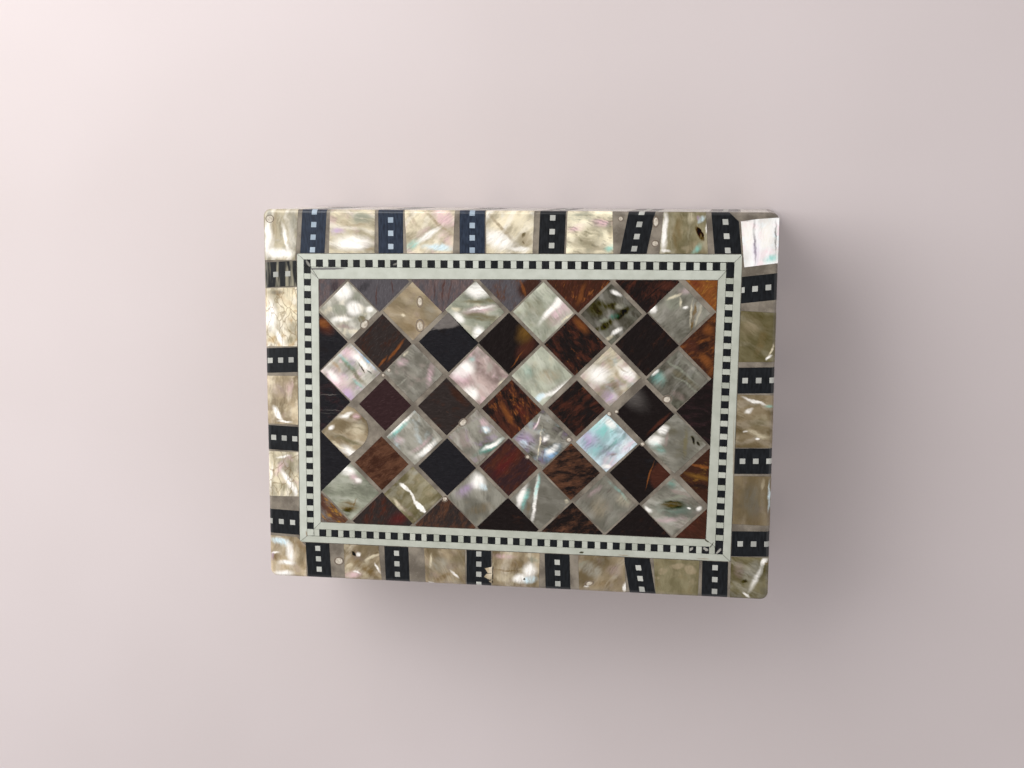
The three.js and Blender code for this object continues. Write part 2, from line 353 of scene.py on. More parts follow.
def nacre(name, centre=(0, 0), seed=0, body="silver", tints=("pink", "sage"), grain=0.0, ripple_sheen=0.3,
          lines=0.25, crackle=0.0, tone=1.0, calm=0.35, dabs=()):
    """Polished mother-of-pearl: soft clouds, rippled bands of painted sheen along the grain, a play of two
    tints, fine growth lines, and the dabs that make one piece unlike the next. Its white dabs are
    partly pale nacre and partly painted highlights."""
    recipe = Recipe(name, centre)
    drift = recipe.drifting(2.6, 4.5, seed)
    grained = recipe.moved(drift, turn=-grain)
    clouds = recipe.noise(recipe.moved(grained, scale=(1, 0.5, 1)), 4.2, seed, detail=4, roughness=0.52)
    deep = toned(body, tone * (0.58 + 0.3 * calm))
    light = tuple(min(1.0, value) for value in toned(body, tone * (1.3 - 0.24 * calm)))
    colour = recipe.mix(recipe.ramp(clouds, 0.34, 0.66), deep, light)
    for number, tint in enumerate(tints):
        where = recipe.noise(grained, 3.0, seed + 11.3 * (number + 1), detail=3)
        colour = recipe.mix(recipe.ramp(where, 0.5, 0.72, 0.0, 0.6 - 0.4 * calm), colour, toned(tint, tone))
    # Painted sheen: white light bands along the grain, where the rippled layers would catch the light.
    wave = recipe.bands(grained, 5.2, wander=5.0, detail=3, phase=seed)
    painted_sheen = recipe.times(recipe.ramp(wave, 0.62, 1.0), recipe.ramp(clouds, 0.4, 0.6, 0.2, 1.0))
    colour = recipe.mix(recipe.times(painted_sheen, ripple_sheen), colour, SHADES["white"])
    streaks = recipe.noise(recipe.moved(grained, scale=(1.6, 0.35, 1)), 1.6, seed + 3, detail=4)
    colour = recipe.painted(colour, drift, dabs, recipe.ramp(streaks, 0.34, 0.6, 0.35, 1.0))
    fine = recipe.bands(recipe.moved(grained, turn=8), 0.9, wander=6.0, detail=4)
    patchy = recipe.ramp(recipe.noise(drift, 2.6, seed + 31), 0.45, 0.62)
    shade = recipe.ramp(recipe.times(fine, patchy), 0.0, 1.0, 1.0, 1.0 - 0.4 * lines)
    colour = recipe.shaded(colour, shade)
    if crackle:
        stretched = recipe.moved(drift, turn=20, scale=(1, 0.45, 1))
        cells = recipe.node(
            "ShaderNodeTexVoronoi", {"Vector": stretched, "Scale": 0.42}, feature="DISTANCE_TO_EDGE"
        )
        cracked = recipe.ramp(cells.outputs["Distance"], 0.05, 0.0, 0.0, crackle)
        colour = recipe.mix(cracked, colour, SHADES["tan"])
    colour = recipe.node("ShaderNodeGamma", {"Color": colour, "Gamma": 1.3}).outputs["Color"]
    colour = recipe.node(
        "ShaderNodeBrightContrast", {"Color": colour, "Bright": 0.03, "Contrast": 0.25}
    ).outputs["Color"]
    recipe.relief(recipe.plus(wave, recipe.times(streaks, 0.5)), 0.03)
    return recipe.finish(colour, recipe.ramp(clouds, 0.3, 0.7, 0.36, 0.22), metallic=0.06, coat=0.45)


def tortoiseshell(name, centre=(0, 0), seed=0, dark="black", warm="brown", glow="amber", grain=0.0,
                  warmth=0.4, flame=0.15, dabs=()):
    """Polished tortoiseshell: a dark ground with warm clouds and streaks of amber along the grain."""
    recipe = Recipe(name, centre)
    drift = recipe.drifting(1.8, 3.5, seed)
    grained = recipe.moved(recipe.moved(drift, turn=-grain), scale=(0.4, 1, 1))
    clouds = recipe.noise(grained, 1.8, seed, detail=6, roughness=0.7)
    fibres = recipe.noise(recipe.moved(grained, scale=(0.5, 1, 1)), 0.32, seed + 5, detail=2)
    level = 0.72 - 0.36 * warmth
    colour = recipe.mix(recipe.ramp(clouds, level - 0.1, level + 0.14), SHADES[dark], SHADES[warm])
    colour = recipe.painted(colour, drift, dabs)
    flecks = recipe.noise(grained, 1.1, seed + 23, detail=4, roughness=0.6)
    edge = 0.74 - 0.3 * flame
    flecked = recipe.ramp(flecks, edge - 0.05, edge + 0.12)
    glowing = recipe.times(flecked, recipe.ramp(fibres, 0.3, 0.6))
    colour = recipe.mix(glowing, colour, SHADES[glow])
    colour = recipe.shaded(colour, recipe.ramp(fibres, 0.3, 0.7, 0.72, 1.0))
    recipe.relief(clouds, 0.01)
    return recipe.finish(colour, recipe.ramp(fibres, 0.3, 0.7, 0.16, 0.28), coat=0.6)


def resin(name):
    """The grey-beige resin ground: cloudy, with fine grit and some darker dirt in it."""
    recipe = Recipe(name)
    drift = recipe.drifting(1.5, 3.0)
    clouds = recipe.noise(drift, 5.5, 1.0, detail=5, roughness=0.6)
    colour = recipe.mix(recipe.ramp(clouds, 0.35, 0.65), seen(104, 96, 86), seen(146, 137, 124))
    grit = recipe.noise(recipe.place, 0.35, 7.0, detail=2)
    colour = recipe.mix(recipe.ramp(grit, 0.62, 0.78, 0.0, 0.4), colour, seen(190, 182, 168))
    dirt = recipe.noise(drift, 1.6, 12.0, detail=4, roughness=0.7)
    colour = recipe.mix(recipe.ramp(dirt, 0.66, 0.8, 0.0, 0.6), colour, seen(88, 76, 64))
    recipe.relief(recipe.plus(clouds, recipe.times(grit, 0.3)), 0.04)
    return recipe.finish(colour, recipe.ramp(grit, 0.3, 0.7, 0.34, 0.5), coat=0.5, coat_roughness=0.12)


def bone(name, darker_shade=(182, 186, 174), bright=(206, 210, 200), marks=()):
    """Cool white bone, with faint clouds, short fine grain, dark pores and some marks. Each cut
    differs a little."""
    recipe = Recipe(name)
    cut = recipe.cut()
    clouds = recipe.noise(recipe.drifting(1.0, 2.0), 3.0, detail=4)
    tone = recipe.plus(recipe.times(cut, 0.5), recipe.times(clouds, 0.7))
    colour = recipe.mix(recipe.ramp(tone, 0.25, 0.9), seen(*darker_shade), seen(*bright))
    pores = recipe.noise(recipe.place, 0.28, 3.0, detail=1)
    colour = recipe.mix(recipe.ramp(pores, 0.7, 0.82, 0.0, 0.45), colour, seen(150, 148, 134))
    colour = recipe.painted(colour, recipe.drifting(0.5, 1.2, 8.0), marks)
    recipe.relief(pores, 0.01)
    return recipe.finish(colour, recipe.ramp(clouds, 0.3, 0.7, 0.3, 0.42), coat=0.35, coat_roughness=0.15)


def ebony(name, dark=(10, 12, 15), light=(24, 28, 33), wear=0.0, marks=()):
    """Blue-black strip, satin, with fine grain. A worn one shows pale scrapes along its length."""
    recipe = Recipe(name)
    cut = recipe.cut()
    grain = recipe.noise(recipe.moved(recipe.place, scale=(1, 0.2, 1)), 0.5, 2.0, detail=4)
    colour = recipe.mix(recipe.ramp(grain, 0.3, 0.7), seen(*dark), seen(*light))
    colour = recipe.mix(recipe.times(cut, 0.25), colour, seen(34, 34, 36))
    dust = recipe.noise(recipe.place, 0.8, 9.0, detail=5, roughness=0.75)
    colour = recipe.mix(recipe.ramp(dust, 0.62, 0.8, 0.0, 0.2), colour, seen(104, 102, 98))
    if wear:
        scrapes = recipe.noise(recipe.moved(recipe.place, scale=(1, 0.12, 1)), 1.3, 4.0, detail=5)
        colour = recipe.mix(recipe.ramp(scrapes, 0.45, 0.66, 0.0, wear), colour, seen(176, 170, 148))
    colour = recipe.painted(colour, recipe.drifting(0.8, 0.8, 8.0), marks)
    recipe.relief(grain, 0.012)
    return recipe.finish(colour, recipe.ramp(grain, 0.3, 0.7, 0.3, 0.46), coat=0.5, coat_roughness=0.12)


def side_shell(name):
    """Plainer mother-of-pearl for the sides. The cut attribute gives each panel its own part of the
    pattern, and its own share of cream and grey."""
    recipe = Recipe(name)
    cut = recipe.cut()
    apart = recipe.times(cut, 47.0)
    drift = recipe.pushed(recipe.noise(recipe.place, 6.25, apart, detail=2, output="Color"), 9.0)
    clouds = recipe.noise(drift, 8.0, apart, detail=4, roughness=0.5)
    colour = recipe.mix(recipe.ramp(clouds, 0.28, 0.7), SHADES["buff"], SHADES["cream"])
    colour = recipe.mix(recipe.ramp(cut, 0.2, 0.9, 0.0, 0.6), colour, SHADES["silver"])
    for number, tint in enumerate(["pink", "sage", "lilac", "aqua"]):
        where = recipe.noise(drift, 5.0, recipe.plus(apart, 13.7 * (number + 1)), detail=2)
        colour = recipe.mix(recipe.ramp(where, 0.56, 0.78, 0.0, 0.45), colour, SHADES[tint])
    # Painted sheen: white bands where the rippled nacre would catch the light.
    wave = recipe.bands(drift, 8.0, wander=3.0, detail=3)
    painted_sheen = recipe.times(recipe.ramp(wave, 0.6, 1.0), recipe.ramp(clouds, 0.42, 0.66, 0.0, 0.8))
    colour = recipe.mix(painted_sheen, colour, SHADES["white"])
    fine = recipe.bands(recipe.moved(drift, turn=12), 1.1, wander=2.0, detail=3)
    colour = recipe.shaded(colour, recipe.ramp(fine, 0.0, 1.0, 0.9, 1.0))
    recipe.relief(recipe.plus(wave, recipe.times(fine, 0.25)), 0.03)
    return recipe.finish(colour, recipe.ramp(clouds, 0.3, 0.7, 0.34, 0.2), metallic=0.06, coat=0.6)


def wood(name):
    """Oiled brown hardwood, its grain along x."""
    recipe = Recipe(name)
    drift = recipe.drifting(3.0, 14.0)
    rings = recipe.bands(recipe.moved(drift, turn=90, scale=(1, 0.08, 1)), 3.2, wander=3.5, detail=3)
    colour = recipe.mix(rings, seen(86, 54, 34), seen(134, 92, 60))
    pores = recipe.noise(recipe.moved(recipe.place, scale=(0.06, 1, 1)), 0.35, 3.0, detail=3)
    colour = recipe.mix(recipe.ramp(pores, 0.58, 0.72, 0.0, 0.6), colour, seen(52, 32, 20))
    recipe.relief(pores, 0.05)
    return recipe.finish(colour, recipe.ramp(pores, 0.4, 0.7, 0.5, 0.7))


def pale_paper(name):
    """The floor: pale pinkish paper, nearly plain."""
    recipe = Recipe(name)
    clouds = recipe.noise(recipe.place, 180.0, detail=3)
    colour = recipe.mix(recipe.ramp(clouds, 0.3, 0.7), seen(208, 198, 198), seen(216, 206, 207))
    fibre = recipe.noise(recipe.place, 0.9, detail=4)
    recipe.relief(fibre, 0.03)
    return recipe.finish(colour, recipe.ramp(fibre, 0.3, 0.7, 0.7, 0.85))


# A flat side of the box: a point on it, two directions along it, and the one that points outwards.
Face = namedtuple("Face", "origin along across outward")
X_WAY, Y_WAY, Z_WAY = Vector((1, 0, 0)), Vector((0, 1, 0)), Vector((0, 0, 1))
LID = Face(Vector((0, 0, TOP - POLISHED_OFF)), X_WAY, Y_WAY, Z_WAY)
WALLS = {
    "back": Face(Vector((0, HALF_WIDTH, 0)), X_WAY, Z_WAY, Y_WAY),
    "right": Face(Vector((HALF_LENGTH, 0, 0)), Y_WAY, Z_WAY, X_WAY),
    "front": Face(Vector((0, -HALF_WIDTH, 0)), X_WAY, Z_WAY, -Y_WAY),
    "left": Face(Vector((-HALF_LENGTH, 0, 0)), Y_WAY, Z_WAY, -X_WAY),
}


def on_face(face, along, across, proud=0.0):
    """A point on a face, in metres."""
    return (face.origin + face.along * along + face.across * across + face.outward * proud) * MM


def pick(piece):
    bpy.ops.object.select_all(action="DESELECT")
    piece.select_set(True)
    bpy.context.view_layer.objects.active = piece


@contextmanager
def edit_mode():
    bpy.ops.object.mode_set(mode="EDIT")
    yield
    bpy.ops.object.mode_set(mode="OBJECT")


def bevel_edges(piece, wanted, width, steps):
    """Bevels the edges whose two ends, in millimetres, are wanted together."""
    mesh = bmesh.from_edit_mesh(piece.data)
    for part in [*mesh.verts, *mesh.edges, *mesh.faces]:
        part.select = False
    for edge in mesh.edges:
        if wanted(*[point.co / MM for point in edge.verts]):
            edge.select_set(True)
    bmesh.update_edit_mesh(piece.data)
    bpy.ops.mesh.bevel(offset=width * MM, segments=steps, affect="EDGES")


def flat_outline(name, face, corners, level=0.0):
    """A flat plate with these corners on the face. It stays in edit mode."""
    bpy.ops.object.select_all(action="DESELECT")
    bpy.ops.mesh.primitive_circle_add(vertices=len(corners), radius=MM, fill_type="NGON")
    piece = bpy.context.object
    piece.name = piece.data.name = name
    bpy.ops.object.mode_set(mode="EDIT")
    bpy.ops.mesh.select_mode(type="VERT")
    for number, (along, across) in enumerate(corners):
        mesh = bmesh.from_edit_mesh(piece.data)
        mesh.verts.ensure_lookup_table()
        for point in mesh.verts:
            point.select = point.index == number
        mesh.select_flush_mode()
        step = on_face(face, along, across, -level) - mesh.verts[number].co
        bmesh.update_edit_mesh(piece.data)
        bpy.ops.transform.translate(value=step)
    return piece


def trim(place, away, filled=False):
    """Cuts off what lies beyond a plane, which is given in metres."""
    bpy.ops.mesh.select_all(action="SELECT")
    bpy.ops.mesh.bisect(
        plane_co=place, plane_no=away, use_fill=filled, clear_outer=True, threshold=CUT_PRECISION
    )


def trim_at_line(first, second, gap):
    """Keeps what lies to the right of the line from first to second on the lid, less a gap."""
    run = (Vector(second) - Vector(first)).normalized()
    left = Vector((-run.y, run.x))
    place = Vector(first) - left * gap
    trim(on_face(LID, *place), Vector((left.x, left.y, 0)))


def trim_at_lid_edge(level):
    for face in WALLS.values():
        trim(on_face(face, 0, 0, -level), face.outward)


def thicken(face, thickness):
    bpy.ops.mesh.select_all(action="SELECT")
    bpy.ops.mesh.extrude_region_move(TRANSFORM_OT_translate={"value": -face.outward * thickness * MM})
    bpy.ops.mesh.select_all(action="SELECT")
    bpy.ops.mesh.normals_make_consistent(inside=False)


def off_outline(x, y, level):
    """How far a point is outside the lid's outline, whose corners are round, less the level."""
    past_x = abs(x) - (HALF_LENGTH - CORNER_RADIUS)
    past_y = abs(y) - (HALF_WIDTH - CORNER_RADIUS)
    reach = math.hypot(max(past_x, 0), max(past_y, 0)) + min(max(past_x, past_y), 0)
    return reach - CORNER_RADIUS + level


def round_lid_edge(piece, level):
    """Rounds the lid's upright corners and its worn upper edge, where the piece reaches them."""
    corner_x, corner_y = HALF_LENGTH - level, HALF_WIDTH - level

    def at_corner(point):
        return abs(abs(point.x) - corner_x) < NEAR and abs(abs(point.y) - corner_y) < NEAR

    def on_worn_edge(point):
        at_rim = abs(off_outline(point.x, point.y, level)) < NEAR
        return at_rim and abs(point.z - LID.origin.z + level) < NEAR

    bevel_edges(piece, lambda a, b: at_corner(a) and at_corner(b), CORNER_RADIUS - level, TILE_STEPS)
    bevel_edges(piece, lambda a, b: on_worn_edge(a) and on_worn_edge(b), WORN_EDGE, TILE_STEPS)


# What cuts the pockets, for each ground.
cutters = {}


def cut_pocket(piece, face, belongs_to):
    """Keeps a slightly larger copy of a piece, which later cuts its pocket out of a ground."""
    cutter = piece.data.copy()
    points = [point.co / MM - face.origin for point in cutter.vertices]
    middle, grow = Vector(), Vector()
    for way in (face.along, face.across):
        spots = [point.dot(way) for point in points]
        low, high = min(spots), max(spots)
        middle += way * (low + high) / 2
        grow += way * (1 + 2 * POCKET_PLAY / (high - low))
    lowest = min(point.dot(face.outward) for point in points)
    for point, place in zip(cutter.vertices, points):
        # The underside goes a little deeper, and all the rest well above the face.
        height = place.dot(face.outward)
        height = lowest - POCKET_PLAY if height < lowest + PIECE / 4 else PIECE
        new = face.origin + face.outward * height
        for way in (face.along, face.across):
            share = (place - middle).dot(way) * abs(grow.dot(way))
            new += way * (middle.dot(way) + share)
        point.co = new * MM
    cutters.setdefault(belongs_to, []).append(cutter)


def ease_edges(piece):
    bevel = piece.modifiers.new("eased", "BEVEL")
    bevel.width = EASED * MM
    bevel.segments = 2
    bevel.limit_method = "ANGLE"
    bevel.angle_limit = math.radians(EASED_FROM)
    bpy.ops.object.modifier_apply(modifier=bevel.name)


def smooth(piece):
    bpy.ops.object.shade_smooth_by_angle(angle=math.radians(SMOOTH_UP_TO))
    even = piece.modifiers.new("even", "WEIGHTED_NORMAL")
    even.keep_sharp = True
    bpy.ops.object.modifier_apply(modifier=even.name)


def mark_cut(piece, value):
    """Gives a cut of bone, ebony or shell its own number, which its material reads."""
    attribute = piece.data.attributes.new("cut", "FLOAT", "POINT")
    attribute.data.foreach_set("value", [value] * len(piece.data.vertices))


def tile(name, face, corners, cuts=(), level=SHELL_LEVEL, thickness=PIECE, pocket=None, cut=0.5):
    """A plate set in a face, trimmed by the cuts, with eased edges."""
    piece = flat_outline(name, face, corners, level)
    for make_cut in cuts:
        make_cut()
    thicken(face, thickness - level)
    bpy.ops.object.mode_set(mode="OBJECT")
    if pocket:
        cut_pocket(piece, face, pocket)
    if face is LID:
        with edit_mode():
            round_lid_edge(piece, level)
    ease_edges(piece)
    smooth(piece)
    mark_cut(piece, cut)
    return piece


def from_mesh(mesh):
    piece = bpy.data.objects.new(mesh.name, mesh)
    bpy.context.collection.objects.link(piece)
    return piece


def copied(piece, step):
    """A copy of a piece with its own mesh, moved."""
    mesh = piece.data.copy()
    mesh.transform(Matrix.Translation(step * MM))
    return from_mesh(mesh)


def joined(name, pieces):
    """Several pieces as one, which keeps their materials."""
    bpy.ops.object.select_all(action="DESELECT")
    for piece in pieces:
        piece.select_set(True)
    bpy.context.view_layer.objects.active = pieces[0]
    if len(pieces) > 1:
        bpy.ops.object.join()
    pieces[0].name = pieces[0].data.name = name
    return pieces[0]


def painted_with(piece, material):
    piece.data.materials.clear()
    piece.data.materials.append(material)
    return piece


def placed(piece, slot, *nodes):
    """Puts a finished piece on the box, in the place of the nodes that it stands for."""
    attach(piece, "root")
    if nodes:
        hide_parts(*nodes)
    return piece


# The field: pearl squares that stand on their points, and tortoiseshell between them.
ROWS, COLUMNS = 4, 6
PEARL_GROWS = (0.3, 0.2)  # how much further than its lie a square reaches, across and up
DARK_GROWS = (0.15, 0.1)


def pearl_middle(row, column):
    low, high = box_of(f"pearl_square_{row}_{column}")
    return (low + high) / 2


FIRST_PEARL = pearl_middle(1, 1)
LAST_PEARL = pearl_middle(ROWS, COLUMNS)
PITCH_X = (LAST_PEARL.x - FIRST_PEARL.x) / (COLUMNS - 1)
PITCH_Y = (FIRST_PEARL.y - LAST_PEARL.y) / (ROWS - 1)
FIELD_MIDDLE = (FIRST_PEARL + LAST_PEARL) / 2


def laid(x, y):
    """Where a point of the true field really lies, because the field leans."""
    share_x = (x - FIELD_MIDDLE.x) / (PITCH_X * COLUMNS / 2)
    share_y = (y - FIELD_MIDDLE.y) / (PITCH_Y * ROWS / 2)
    lean = Vector((0, 0))
    for (side_x, side_y), shift in FIELD_LEAN.items():
        lean += shift * ((1 + side_x * share_x) / 2) * ((1 + side_y * share_y) / 2)
    return x + lean.x, y + lean.y


def diamond(x, y, reach_x, reach_y, turn=0.0):
    """The corners of a square on its point about a laid middle, with its own reach and turn."""
    angle = math.radians(turn)
    points = [(0, reach_y), (reach_x, 0), (0, -reach_y), (-reach_x, 0)]
    return [
        (x + across * math.cos(angle) - up * math.sin(angle),
         y + across * math.sin(angle) + up * math.cos(angle))
        for across, up in points
    ]


def trim_at_field_edge():
    for number, first in enumerate(INNER_LINE):
        trim_at_line(first, INNER_LINE[(number + 1) % 4], gap=0.1)
